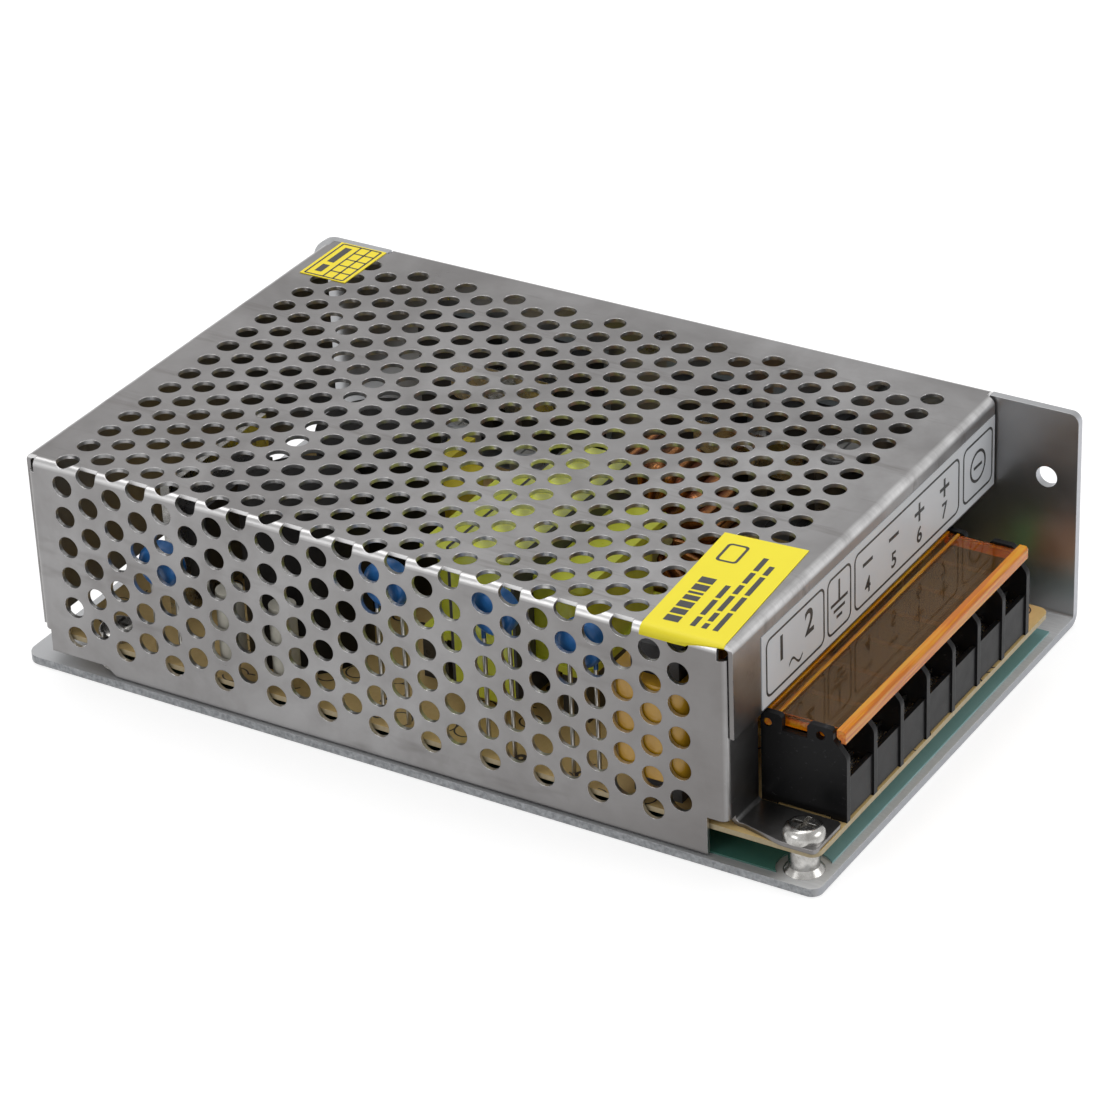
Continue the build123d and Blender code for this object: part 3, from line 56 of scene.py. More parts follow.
class Look:
    """One material's node graph, built around a principled shader."""

    def __init__(self, name, bevel=0.0):
        self.material = bpy.data.materials.new(name)
        self.material.use_nodes = True
        self.tree = self.material.node_tree
        self.tree.nodes.clear()
        output = self.tree.nodes.new("ShaderNodeOutputMaterial")
        self.shader = self.tree.nodes.new("ShaderNodeBsdfPrincipled")
        self.tree.links.new(self.shader.outputs[0], output.inputs[0])
        self.place = self.tree.nodes.new("ShaderNodeTexCoord").outputs["Object"]
        self.normal = None
        if bevel:
            edge = self.tree.nodes.new("ShaderNodeBevel")
            edge.samples = 6
            edge.inputs["Radius"].default_value = bevel * MM
            self.link(edge.outputs[0], self.shader.inputs["Normal"])
            self.normal = edge.outputs[0]

    def link(self, source, target):
        if hasattr(source, "is_output"):
            self.tree.links.new(source, target)
        else:
            target.default_value = source

    def set(self, **values):
        names = {
            "color": "Base Color", "rough": "Roughness", "metal": "Metallic", "ior": "IOR",
            "clear": "Transmission Weight", "coat": "Coat Weight", "spec": "Specular IOR Level",
            "glow": "Emission Strength", "glow_color": "Emission Color",
        }
        for key, value in values.items():
            if isinstance(value, tuple):
                value = (*value[:3], 1.0)
            self.link(value, self.shader.inputs[names[key]])
        return self

    def stretched(self, x=1.0, y=1.0, z=1.0, turn=0.0):
        node = self.tree.nodes.new("ShaderNodeMapping")
        self.link(self.place, node.inputs["Vector"])
        node.inputs["Scale"].default_value = (x, y, z)
        node.inputs["Rotation"].default_value = (0, 0, math.radians(turn))
        return node.outputs[0]

    def noise(self, size, detail=3.0, rough=0.55, place=None, warp=0.0):
        node = self.tree.nodes.new("ShaderNodeTexNoise")
        self.link(place or self.place, node.inputs["Vector"])
        node.inputs["Scale"].default_value = 1 / (size * MM)
        node.inputs["Detail"].default_value = detail
        node.inputs["Roughness"].default_value = rough
        node.inputs["Distortion"].default_value = warp
        return node.outputs["Fac"]

    def cells(self, size):
        node = self.tree.nodes.new("ShaderNodeTexVoronoi")
        self.link(self.place, node.inputs["Vector"])
        node.inputs["Scale"].default_value = 1 / (size * MM)
        return node.outputs["Distance"]

    def ramp(self, fac, *stops):
        node = self.tree.nodes.new("ShaderNodeValToRGB")
        self.link(fac, node.inputs[0])
        while len(node.color_ramp.elements) < len(stops):
            node.color_ramp.elements.new(0.5)
        for element, (place, value) in zip(node.color_ramp.elements, stops):
            element.position = place
            shade = value if isinstance(value, tuple) else (value,) * 3
            element.color = (*shade[:3], 1.0)
        return node.outputs[0]

    def span(self, fac, low, high, start=0.0, end=1.0):
        node = self.tree.nodes.new("ShaderNodeMapRange")
        self.link(fac, node.inputs["Value"])
        self.link(low, node.inputs["From Min"])
        self.link(high, node.inputs["From Max"])
        self.link(start, node.inputs["To Min"])
        self.link(end, node.inputs["To Max"])
        return node.outputs[0]

    def mix(self, fac, a, b):
        node = self.tree.nodes.new("ShaderNodeMix")
        node.data_type = "RGBA"
        self.link(fac, node.inputs[0])
        self.link((*a[:3], 1.0) if isinstance(a, tuple) else a, node.inputs[6])
        self.link((*b[:3], 1.0) if isinstance(b, tuple) else b, node.inputs[7])
        return node.outputs[2]

    def calc(self, operation, a, b=0.0):
        """A math node; a and b are numbers or sockets."""
        node = self.tree.nodes.new("ShaderNodeMath")
        node.operation = operation
        self.link(a, node.inputs[0])
        self.link(b, node.inputs[1])
        return node.outputs[0]

    def plus(self, a, b):
        return self.calc("ADD", a, b)

    def less(self, a, b):
        return self.calc("SUBTRACT", a, b)

    def times(self, a, b):
        return self.calc("MULTIPLY", a, b)

    def either(self, a, b):
        return self.calc("MAXIMUM", a, b)

    def under(self, a, b):
        return self.calc("LESS_THAN", a, b)

    def over(self, a, b):
        return self.calc("GREATER_THAN", a, b)

    def absolute(self, a):
        return self.calc("ABSOLUTE", a)

    def parts(self, vector=None):
        node = self.tree.nodes.new("ShaderNodeSeparateXYZ")
        self.link(vector or self.place, node.inputs[0])
        return node.outputs

    def facing(self):
        return self.parts(self.tree.nodes.new("ShaderNodeNewGeometry").outputs["Normal"])

    def bump(self, height, depth, strength=1.0):
        node = self.tree.nodes.new("ShaderNodeBump")
        node.inputs["Distance"].default_value = depth * MM
        node.inputs["Strength"].default_value = strength
        self.link(height, node.inputs["Height"])
        if self.normal:
            self.link(self.normal, node.inputs["Normal"])
        self.link(node.outputs[0], self.shader.inputs["Normal"])
        self.normal = node.outputs[0]
        return self


def sheet_steel():
    """Galvanised cover: satin grey with smudges and long streaks, painted shade toward the back of
    the roof, and painted highlights on its bends and hole rims.
    """
    look = Look("galvanised_sheet", bevel=0.22)
    x, y, z = look.parts()
    upward = look.span(look.facing()[2], 0.6, 0.9)
    nx, ny, nz = [look.absolute(part) for part in look.facing()]
    smudge = look.noise(26, 5, 0.6, warp=0.6)
    patch = look.noise(7, 3, 0.6)
    lines = look.noise(0.5, 2, 0.6, place=look.stretched(1.0, 0.03, 1.0))
    streak = look.noise(5, 4, 0.7, place=look.stretched(1.0, 0.10, 0.45))
    scratch = look.noise(0.9, 5, 0.75, place=look.stretched(0.25, 1.0, 0.6, turn=35))
    tint = look.ramp(
        smudge,
        (0.30, (0.225, 0.218, 0.217)), (0.52, (0.290, 0.284, 0.284)), (0.75, (0.345, 0.340, 0.342)),
    )
    # Dull patches and dark streaks
    tint = look.mix(look.span(patch, 0.45, 0.75, 0.0, 0.45), tint, (0.20, 0.19, 0.187))
    tint = look.mix(look.span(streak, 0.58, 0.74, 0.0, 0.55), tint, (0.12, 0.108, 0.104))
    # Painted shade: the roof darkens toward the back, the side wall toward the front
    back = look.times(upward, look.span(y, (FRONT + 24.5) * MM, (FRONT + 154.5) * MM, 0.0, 0.4))
    tint = look.mix(back, tint, (0.20, 0.188, 0.185))
    ahead = look.span(y, (FRONT + 74.5) * MM, (FRONT + 17.5) * MM, 0.0, 0.6)
    tint = look.mix(look.times(look.span(nx, 0.6, 0.9), ahead), tint, (0.150, 0.140, 0.135))
    # Scratches on the front flange and the earth tab
    fore = look.times(look.under(y, (FRONT + 18.0) * MM), look.under(z, 24 * MM))
    scratched = look.times(fore, look.span(scratch, 0.64, 0.72, 0.0, 0.6))
    tint = look.mix(scratched, tint, (0.62, 0.62, 0.62))
    # Painted highlights: bends and the rims of the holes are lightened where they would catch the
    # light
    turned = look.either(look.times(nx, nz), look.times(ny, nz))
    below_roof = look.span(z, (ROOF - 0.9) * MM, (ROOF - 1.0) * MM, 0.0, 0.15)
    turned = look.either(turned, look.times(look.times(nx, ny), below_roof))
    painted_highlight = look.span(turned, 0.06, 0.40, 0.0, look.span(streak, 0.35, 0.65, 0.75, 0.35))
    in_roof = look.span(z, (ROOF - 1.0) * MM, (ROOF - 0.8) * MM)
    in_wall = look.span(x, (WALL + 1.0) * MM, (WALL + 0.8) * MM)
    roof_rim_highlight = look.times(in_roof, look.span(nz, 0.5, 0.3))
    wall_rim_highlight = look.times(in_wall, look.span(nx, 0.5, 0.3))
    painted_highlight = look.either(painted_highlight, look.times(look.either(roof_rim_highlight, wall_rim_highlight), 0.75))
    look.set(color=look.mix(painted_highlight, tint, (0.78, 0.775, 0.775)), metal=1.0)
    worn = look.plus(look.span(smudge, 0.3, 0.7, 0.28, 0.42), look.span(lines, 0, 1, -0.05, 0.05))
    look.set(rough=look.plus(worn, look.span(streak, 0.6, 0.74, 0.0, 0.1)))
    return look.bump(look.plus(lines, look.times(patch, 1.5)), 0.006, 0.35).material


def sheet_aluminium():
    """Chassis: pale and semi-matt, smooth on its front edge and torn on its sheared left edge."""
    look = Look("plain_sheet", bevel=0.12)
    smudge = look.noise(30, 4, 0.6, warp=0.4)
    grain = look.noise(0.35, 2, 0.6, place=look.stretched(1.0, 0.05, 1.0))
    tear = look.noise(0.8, 4, 0.7)
    scratch = look.noise(0.9, 5, 0.75, place=look.stretched(0.25, 1.0, 0.6, turn=35))
    hatch = look.noise(0.5, 3, 0.6, place=look.stretched(1.0, 0.12, 1.0))
    y, z = look.parts()[1:]
    nx, ny, nz = look.facing()
    tint = look.ramp(smudge, (0.3, (0.37, 0.375, 0.385)), (0.7, (0.47, 0.475, 0.485)))
    # The base's sheared left edge and its front edge
    sheared = look.times(look.span(nx, -0.7, -0.9), look.span(z, (BASE + 0.1) * MM, BASE * MM))
    torn = look.ramp(tear, (0.35, (0.22, 0.23, 0.24)), (0.7, (0.48, 0.49, 0.51)))
    tint = look.mix(sheared, tint, torn)
    edge = look.mix(tear, (0.37, 0.38, 0.41), (0.50, 0.51, 0.54))
    tint = look.mix(look.span(ny, -0.7, -0.9), tint, edge)
    tint = look.mix(look.span(scratch, 0.66, 0.74, 0.0, 0.5), tint, (0.66, 0.66, 0.67))
    # Painted reflection: a paler strip along the front of the base stands in for the backdrop it
    # mirrors
    base = look.span(z, (BASE + 0.7) * MM, (BASE - 0.1) * MM)
    strip_depth = look.span(y, (FRONT + 9) * MM, (FRONT + 6) * MM)
    rim = look.times(look.times(look.span(nz, 0.8, 0.95), strip_depth), base)
    tint = look.mix(rim, tint, look.mix(hatch, (0.60, 0.61, 0.62), (0.86, 0.87, 0.88)))
    shine = look.less(look.span(base, 0, 1, 0.95, 0.45), look.times(rim, 0.25))
    look.set(color=tint, metal=shine)
    satin = look.plus(look.span(smudge, 0.3, 0.7, 0.30, 0.42), look.span(grain, 0, 1, -0.04, 0.04))
    look.set(rough=look.plus(satin, look.times(base, 0.16)))
    relief = look.plus(grain, look.times(look.times(tear, sheared), 12))
    return look.bump(relief, 0.008, 0.4).material


def nickel():
    look = Look("nickel_plate", bevel=0.1)
    stain = look.noise(2.2, 4, 0.65)
    tint = look.ramp(stain, (0.3, (0.27, 0.26, 0.245)), (0.62, (0.55, 0.54, 0.52)))
    look.set(color=tint, metal=1.0)
    look.set(rough=look.span(stain, 0.3, 0.7, 0.34, 0.16))
    return look.bump(look.noise(0.7, 3), 0.01, 0.5).material


def tinned():
    look = Look("tinned_brass", bevel=0.08)
    stain = look.noise(1.6, 3)
    tint = look.ramp(stain, (0.3, (0.46, 0.45, 0.42)), (0.7, (0.66, 0.65, 0.63)))
    look.set(color=tint, metal=1.0)
    look.set(rough=look.span(stain, 0.3, 0.7, 0.32, 0.2))
    return look.bump(look.noise(0.5, 2), 0.01, 0.4).material


def moulding(name, dark, pale, rough=0.38, scuff=0.0, bevel=0.12, size=3.0, spec=0.45):
    """Moulded plastic with slight mottling, and scuffs where the part is handled."""
    look = Look(name, bevel=bevel)
    cloud = look.noise(size, 4, 0.6)
    tint = look.mix(cloud, dark, pale)
    if scuff:
        streak = look.noise(1.1, 5, 0.7, place=look.stretched(0.35, 1.0, 1.6, turn=20))
        mark = look.span(streak, 0.62, 0.72, 0.0, scuff)
        tint = look.mix(mark, tint, (0.16, 0.16, 0.17))
        look.set(rough=look.plus(look.span(cloud, 0.3, 0.7, rough - 0.06, rough + 0.06), mark))
    else:
        look.set(rough=look.span(cloud, 0.3, 0.7, rough - 0.06, rough + 0.06))
    look.set(color=tint, spec=spec)
    return look.bump(look.noise(0.25, 2, 0.6), 0.01, 0.35).material


def amber():
    """Clear amber plate; its bead, ribs and rear edge are a deeper, less clear amber, with painted
    highlight and shade lines along them that stand in for refraction.
    """
    look = Look("clear_amber", bevel=0.14)
    y, z = look.parts()[1:]
    low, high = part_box("terminal_cover")
    plate_bottom, plate_top, bead_depth = 22.9, 23.85, 1.7
    bead = look.either(look.under(z, plate_bottom * MM), look.over(z, plate_top * MM))
    bead = look.either(bead, look.under(y, low[1] + bead_depth * MM))
    cloud = look.noise(9, 3, 0.5)
    plate = look.mix(cloud, (1.0, 0.50, 0.10), (1.0, 0.60, 0.17))
    # Painted highlights and shade: lighter and darker amber lines along the bead stand in for
    # refraction
    painted_refraction = look.noise(0.9, 3, 0.6, place=look.stretched(0.05, 1.0, 1.0))
    deep = look.ramp(
        painted_refraction, (0.40, (0.82, 0.25, 0.0)), (0.50, (1.0, 0.38, 0.0)), (0.60, (1.0, 0.52, 0.02))
    )
    look.set(color=look.mix(bead, plate, deep), ior=1.42)
    look.set(clear=look.span(bead, 0, 1, 0.97, 0.50))
    look.set(rough=look.span(look.noise(4, 4, 0.6), 0.35, 0.7, 0.03, 0.12))
    return look.bump(look.noise(6, 3, 0.5, place=look.stretched(0.3, 1, 1)), 0.03, 0.35).material


def laminate():
    """Circuit board: tan, with plain printed strokes and rings on its component side."""
    look = Look("tan_laminate", bevel=0.08)
    weave = look.noise(1.0, 3, 0.6)
    tint = look.mix(weave, (0.60, 0.41, 0.16), (0.74, 0.55, 0.25))
    nz = look.facing()[2]
    upward = look.span(nz, 0.7, 0.9)
    stroke = look.under(look.absolute(look.less(look.cells(6.5), 0.34)), 0.022)
    gaps = look.over(look.noise(5.0, 1), 0.5)
    ink = look.times(look.times(stroke, gaps), upward)
    tint = look.mix(ink, tint, (0.05, 0.04, 0.04))
    edge = look.span(look.absolute(nz), 0.5, 0.3)
    cut = look.mix(look.noise(0.8, 3), (0.44, 0.35, 0.20), (0.62, 0.52, 0.34))
    tint = look.mix(edge, tint, cut)
    look.set(color=tint, rough=look.span(weave, 0.3, 0.7, 0.42, 0.55), spec=0.4)
    return look.bump(weave, 0.02, 0.3).material


def teal_film():
    """Insulating film: pale at the front, with painted shade that turns it deep green under the
    board.
    """
    look = Look("teal_film", bevel=0.05)
    cloud = look.noise(8, 3, 0.6)
    # Painted shade: the film darkens to deep green away from its front edge
    painted_shade_inward = look.span(look.parts()[1], (FRONT + 4.5) * MM, (FRONT + 7.5) * MM)
    pale = look.mix(cloud, (0.180, 0.370, 0.370), (0.280, 0.470, 0.480))
    deep = look.mix(cloud, (0.035, 0.120, 0.095), (0.060, 0.170, 0.140))
    look.set(color=look.mix(painted_shade_inward, pale, deep), rough=0.14)
    return look.bump(look.noise(3, 3), 0.05, 0.3).material


def cans(name, places, radius, top, sleeve, sleeve_pale):
    """Sleeved capacitors: the sleeve turns over the rim, round a scored metal end."""
    look = Look(name, bevel=0.1)
    x, y, z = look.parts()
    nearest = None
    scored = None
    for px, depth in places:
        dx = look.less(x, px * MM)
        dy = look.less(y, (FRONT + depth) * MM)
        square = look.plus(look.calc("POWER", dx, 2.0), look.calc("POWER", dy, 2.0))
        away = look.calc("POWER", square, 0.5)
        line = look.calc("MINIMUM", look.absolute(dx), look.absolute(dy))
        cut = look.times(look.under(line, 0.22 * MM), look.under(away, radius * 0.6 * MM))
        nearest = away if nearest is None else look.calc("MINIMUM", nearest, away)
        scored = cut if scored is None else look.either(scored, cut)
    inside = look.under(nearest, (radius - 1.3) * MM)
    end = look.times(inside, look.over(z, (top - 0.4) * MM))
    cloud = look.noise(3, 3)
    metal = look.mix(cloud, (0.55, 0.55, 0.54), (0.72, 0.72, 0.70))
    metal = look.mix(look.times(scored, end), metal, (0.22, 0.22, 0.22))
    look.set(color=look.mix(end, look.mix(cloud, sleeve, sleeve_pale), metal), metal=end)
    look.set(rough=look.span(cloud, 0.3, 0.7, 0.25, 0.38), coat=0.15)
    return look.bump(look.plus(cloud, look.times(scored, -3.0)), 0.03, 0.4).material


def coated(name, dark, pale, rough=0.35, size=2.0, coat=0.2):
    look = Look(name, bevel=0.1)
    cloud = look.noise(size, 4, 0.6)
    look.set(color=look.mix(cloud, dark, pale), coat=coat)
    look.set(rough=look.span(cloud, 0.3, 0.7, rough - 0.06, rough + 0.08))
    return look.bump(look.noise(size / 3, 3), 0.04, 0.45).material


def blue_discs():
    """Blue coated discs; the wire leads below them are bare."""
    look = Look("blue_coating", bevel=0.1)
    y, z = look.parts()[1:]
    cloud = look.noise(2.0, 4, 0.6)
    high_leads, low_leads, split = 28.6, 20.6, FRONT + 110
    raised = look.either(look.under(y, split * MM), look.under(z, low_leads * MM))
    lead = look.times(look.under(z, high_leads * MM), raised)
    tint = look.mix(cloud, (0.015, 0.12, 0.38), (0.04, 0.21, 0.56))
    look.set(color=look.mix(lead, tint, (0.55, 0.54, 0.51)), metal=lead, coat=0.2)
    look.set(rough=look.span(cloud, 0.3, 0.7, 0.29, 0.43))
    return look.bump(look.noise(0.7, 3), 0.04, 0.45).material


def bound_core():
    """Ferrite core with tape wound round its outline between two bare rims."""
    look = Look("bound_core", bevel=0.12)
    low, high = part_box("transformer_core")
    away = look.absolute(look.less(look.parts()[1], (low[1] + high[1]) / 2))
    crease = look.noise(2.4, 4, 0.6)
    outward = look.less(1.0, look.span(look.absolute(look.facing()[1]), 0.5, 0.6))
    half_tape = 5.9
    bound = look.times(look.under(away, half_tape * MM), outward)
    ferrite = look.mix(crease, (0.03, 0.03, 0.032), (0.07, 0.07, 0.07))
    tape = look.mix(crease, (0.72, 0.78, 0.03), (0.90, 0.94, 0.12))
    look.set(color=look.mix(bound, ferrite, tape))
    look.set(rough=look.span(bound, 0, 1, 0.5, 0.26), coat=look.times(bound, 0.3))
    return look.bump(crease, 0.05, 0.5).material


def taped(name, dark, pale):
    """Tape wound round a coil, with small upright wrinkles."""
    look = Look(name, bevel=0.15)
    crease = look.noise(2.4, 4, 0.6, place=look.stretched(1, 1, 0.25))
    look.set(color=look.mix(crease, dark, pale), rough=0.24, coat=0.3)
    return look.bump(crease, 0.08, 0.5).material


def bobbin():
    """Coil former: tape covers it above its black pin rails."""
    look = Look("taped_bobbin", bevel=0.12)
    crease = look.noise(2.4, 4, 0.6)
    rail_top = 15.4
    above = look.over(look.parts()[2], rail_top * MM)
    tape = look.mix(crease, (0.72, 0.78, 0.03), (0.90, 0.94, 0.12))
    rail = look.mix(crease, (0.02, 0.02, 0.02), (0.05, 0.05, 0.05))
    look.set(color=look.mix(above, rail, tape))
    look.set(rough=look.span(crease, 0.3, 0.7, 0.26, 0.40), coat=0.2)
    return look.bump(crease, 0.05, 0.5).material


def ring_winding():
    """Enamelled copper round the ring core: turns that run out from its centre."""
    look = Look("enamelled_copper", bevel=0.1)
    turns = 26.0
    y, z = look.parts()[1:]
    low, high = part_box("output_choke_winding")
    dy = look.less(y, (low[1] + high[1]) / 2)
    dz = look.less(z, (low[2] + high[2]) / 2)
    wave = look.calc("SINE", look.times(look.calc("ARCTAN2", dz, dy), turns))
    tint = look.ramp(look.span(wave, -1, 1), (0.1, (0.16, 0.05, 0.02)), (0.7, (0.62, 0.27, 0.10)))
    look.set(color=tint, metal=0.85, rough=0.26)
    return look.bump(wave, 0.6, 0.9).material


def paper(name, dark, pale, rough=0.5):
    look = Look(name)
    cloud = look.noise(12, 3, 0.5)
    look.set(color=look.mix(cloud, dark, pale), rough=rough, spec=0.45)
    return look.bump(look.noise(0.6, 3), 0.006, 0.3).material


def glow_lens():
    look = Look("green_lens", bevel=0.08)
    cloud = look.noise(2, 2)
    look.set(color=look.mix(cloud, (0.10, 0.62, 0.16), (0.22, 0.85, 0.30)))
    look.set(clear=0.7, rough=0.12, ior=1.5)
    look.set(glow=0.12, glow_color=(0.1, 0.8, 0.2))
    return look.material


def resistor_coat():
    look = Look("resistor_coat", bevel=0.06)
    look.set(color=(0.62, 0.50, 0.34), rough=0.4)
    return look.bump(look.noise(1.0, 2), 0.03, 0.4).material


def ink():
    look = Look("print_ink")
    look.set(color=look.mix(look.noise(1.5, 3), (0.012, 0.012, 0.012), (0.04, 0.04, 0.04)))
    look.set(rough=0.42)
    return look.material


black_plastic = moulding(
    "black_moulding", (0.005, 0.005, 0.0055), (0.012, 0.012, 0.013), 0.34, scuff=0.3, spec=0.13
)
package = moulding("package_moulding", (0.02, 0.02, 0.022), (0.04, 0.04, 0.042), 0.5)
metal_nickel = nickel()
metal_tin = tinned()
looks = {
    "chassis": sheet_aluminium(),
    "cover": sheet_steel(),
    "insulation_film": teal_film(),
    "circuit_board": laminate(),
    "standoffs": metal_nickel,
    "board_screws": metal_nickel,
    "cover_screws": metal_nickel,
    "clamp_screws": metal_nickel,
    "terminal_block": black_plastic,
    "terminal_plates": metal_tin,
    "fuse_clips": metal_tin,
    "terminal_cover": amber(),
    "trimmer_body": moulding(
        "orange_moulding", (0.72, 0.20, 0.03), (0.86, 0.30, 0.05), 0.4, bevel=0.1
    ),
    "trimmer_rotor": moulding(
        "white_moulding", (0.70, 0.69, 0.65), (0.84, 0.83, 0.79), 0.45, bevel=0.06
    ),
    "indicator_led": glow_lens(),
    "transformer_core": bound_core(),
    "transformer_bobbin": bobbin(),
    "transformer_winding": taped("yellow_green_tape", (0.70, 0.76, 0.03), (0.90, 0.94, 0.12)),
    "input_capacitors": moulding(
        "black_sleeve", (0.010, 0.009, 0.009), (0.026, 0.024, 0.022), 0.5, spec=0.12
    ),
    "output_capacitors": cans(
        "dark_sleeve", [(12.5, 27.0), (23.5, 27.0), (34.4, 27.0), (34.4, 39.0)],
        5.0, 32.1, (0.02, 0.02, 0.022), (0.05, 0.045, 0.04),
    ),
    "small_capacitors": cans(
        "grey_sleeve", [(30.0, 102.0), (22.0, 96.0), (34.0, 118.0)],
        3.15, 18.6, (0.30, 0.31, 0.33), (0.45, 0.46, 0.48),
    ),
    "disc_capacitors": blue_discs(),
    "post_resistors": coated("cement_body", (0.42, 0.40, 0.34), (0.60, 0.58, 0.50), 0.6, 1.5, 0.0),
    "line_choke_core": coated(
        "dark_ferrite", (0.04, 0.04, 0.045), (0.08, 0.08, 0.085), 0.5, 1.5, 0.0
    ),
    "line_choke_coils": taped("amber_tape", (0.42, 0.21, 0.010), (0.64, 0.36, 0.025)),
    "suppression_capacitor": coated(
        "yellow_box", (0.78, 0.48, 0.04), (0.90, 0.62, 0.09), 0.35, 5.0
    ),
    "surge_thermistor": coated("green_coating", (0.03, 0.12, 0.07), (0.06, 0.22, 0.13)),
    "fuse": coated("glass_fuse", (0.45, 0.46, 0.44), (0.62, 0.63, 0.60), 0.2, 2.0, 0.5),
    "output_choke_core": coated("painted_ring", (0.52, 0.46, 0.12), (0.68, 0.62, 0.20), 0.45),
    "output_choke_winding": ring_winding(),
    "bridge_heatsink": metal_tin,
    "bridge_rectifier": package,
    "driver_transformer": taped("small_coil_tape", (0.70, 0.58, 0.04), (0.86, 0.74, 0.10)),
    "control_chip": package,
    "optocouplers": package,
    "resistors": resistor_coat(),
    "switching_transistors": package,
    "rectifier_diodes": package,
    "thermal_pads": coated("grey_pad", (0.30, 0.34, 0.36), (0.42, 0.47, 0.50), 0.6, 2.0, 0.0),
    "clamp_bars": metal_tin,
    "front_label": paper("silver_label", (0.60, 0.63, 0.66), (0.70, 0.72, 0.75), 0.34),
    "top_label": paper("yellow_label", (0.86, 0.72, 0.01), (0.92, 0.80, 0.02)),
    "corner_label": paper("yellow_sticker", (0.84, 0.66, 0.01), (0.90, 0.75, 0.03)),
}
for way in range(1, 8):
    looks[f"wire_clamp_{way}"] = metal_tin
    looks[f"terminal_screw_{way}"] = metal_nickel

for name, obj in nodes.items():
    obj.data.materials.clear()
    obj.data.materials.append(looks[name])


# Print on the labels, the only pieces made here

printed = ink()


def piece(name, build, body="housing"):
    """Print made by build(bm) and carried by a body."""
    bm = bmesh.new()
    build(bm)
    mesh = bpy.data.meshes.new(name)
    bm.to_mesh(mesh)
    bm.free()
    obj = bpy.data.objects.new(name, mesh)
    bpy.context.scene.collection.objects.link(obj)
    mesh.materials.append(printed)
    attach(obj, body)


def rounded(x0, z0, x1, z1, r, steps=6):
    """Corner-rounded rectangle as a list of (u, v)."""
    points = []
    corners = (
        (x1 - r, z1 - r, 0), (x0 + r, z1 - r, 90), (x0 + r, z0 + r, 180), (x1 - r, z0 + r, 270)
    )
    for cx, cz, start in corners:
        for k in range(steps + 1):
            angle = math.radians(start + 90 * k / steps)
            points.append((cx + r * math.cos(angle), cz + r * math.sin(angle)))
    return points


class Sheet:
    """A flat place to print on: origin and two directions, in millimetres."""

    def __init__(self, origin, across, up):
        self.origin = Vector(origin)
        self.across = Vector(across).normalized()
        self.up = Vector(up).normalized()

    def at(self, u, v):
        return (self.origin + self.across * u + self.up * v) * MM

    def band(self, bm, outer, inner):
        """The strip between two outlines of as many points."""
        a = [bm.verts.new(self.at(*p)) for p in outer]
        b = [bm.verts.new(self.at(*p)) for p in inner]
        for k in range(len(a)):
            n = (k + 1) % len(a)
            bm.faces.new((a[k], a[n], b[n], b[k]))

    def fill(self, bm, outline):
        bm.faces.new([bm.verts.new(self.at(*p)) for p in outline])

    def box(self, bm, u0, v0, u1, v1):
        self.fill(bm, [(u0, v0), (u1, v0), (u1, v1), (u0, v1)])

    def glyph(self, bm, text, u, v, size):
        """Plain figures from Blender's own font, centred at (u, v)."""
        curve = bpy.data.curves.new("figure", "FONT")
        curve.body = text
        curve.size = size
        curve.offset = size * 0.018
        curve.align_x = "CENTER"
        curve.align_y = "CENTER"
        holder = bpy.data.objects.new("figure", curve)
        bpy.context.scene.collection.objects.link(holder)
        bpy.context.view_layer.update()
        graph = bpy.context.evaluated_depsgraph_get()
        mesh = bpy.data.meshes.new_from_object(holder.evaluated_get(graph))
        made = [bm.verts.new(self.at(u + p.co.x, v + p.co.y)) for p in mesh.vertices]
        for polygon in mesh.polygons:
            bm.faces.new([made[k] for k in polygon.vertices])
        bpy.data.objects.remove(holder)
        bpy.data.meshes.remove(mesh)
        bpy.data.curves.remove(curve)


# Connection strip on the lip: outlined boxes with plain figures and signs
strip = Sheet((0, LIP - PAPER - LIFT, 0), (1, 0, 0), (0, 0, 1))


def print_strip(bm):
    """Supply 1 and 2 over a wave, earth, outputs 4 to 7 under their signs, and the adjuster."""
    bottom, top, line = 26.4, 37.4, 0.45
    for left, right in ((-36.7, -16.6), (-15.7, -7.2), (-6.1, 33.0), (34.4, 46.0)):
        outer = rounded(left, bottom, right, top, 1.6)
        inner = rounded(left + line, bottom + line, right - line, top - line, 1.2)
        strip.band(bm, outer, inner)
    for figure, u in (("1", -31.4), ("2", -21.9)):
        strip.glyph(bm, figure, u, 33.2, 6.6)
    steps, half = 24, 0.25
    phases = [k / steps for k in range(steps + 1)]
    wave = [(-28.9 + 4.6 * t, 28.7 + 0.8 * math.sin(math.tau * t)) for t in phases]
    for (u0, v0), (u1, v1) in zip(wave, wave[1:]):
        strip.fill(bm, [(u0, v0 - half), (u1, v1 - half), (u1, v1 + half), (u0, v0 + half)])
    earth, bar = -11.45, 0.6
    strip.box(bm, earth - bar / 2, 32.2, earth + bar / 2, 36.0)
    for k, half in enumerate((3.0, 2.0, 1.0)):
        low = 31.6 - 1.4 * k
        strip.box(bm, earth - half, low, earth + half, low + bar)
    first_output, outputs, plus_from = -1.25, 4, 2
    for k in range(outputs):
        centre = first_output + PITCH * k
        strip.box(bm, centre - 1.8, 33.6, centre + 1.8, 34.3)
        if k >= plus_from:
            strip.box(bm, centre - 0.35, 32.15, centre + 0.35, 33.6)
            strip.box(bm, centre - 0.35, 34.3, centre + 0.35, 35.75)
        strip.glyph(bm, str(k + 4), centre, 29.4, 4.2)
    u, v, sides = 40.2, 31.9, 32
    angles = [math.tau * k / sides for k in range(sides)]
    outer, inner = [
        [(u + r * math.cos(angle), v + r * math.sin(angle)) for angle in angles]
        for r in (3.1, 2.55)
    ]
    strip.band(bm, outer, inner)
    strip.box(bm, u - 1.6, v - 0.3, u + 1.6, v + 0.3)


piece("strip_print", print_strip)

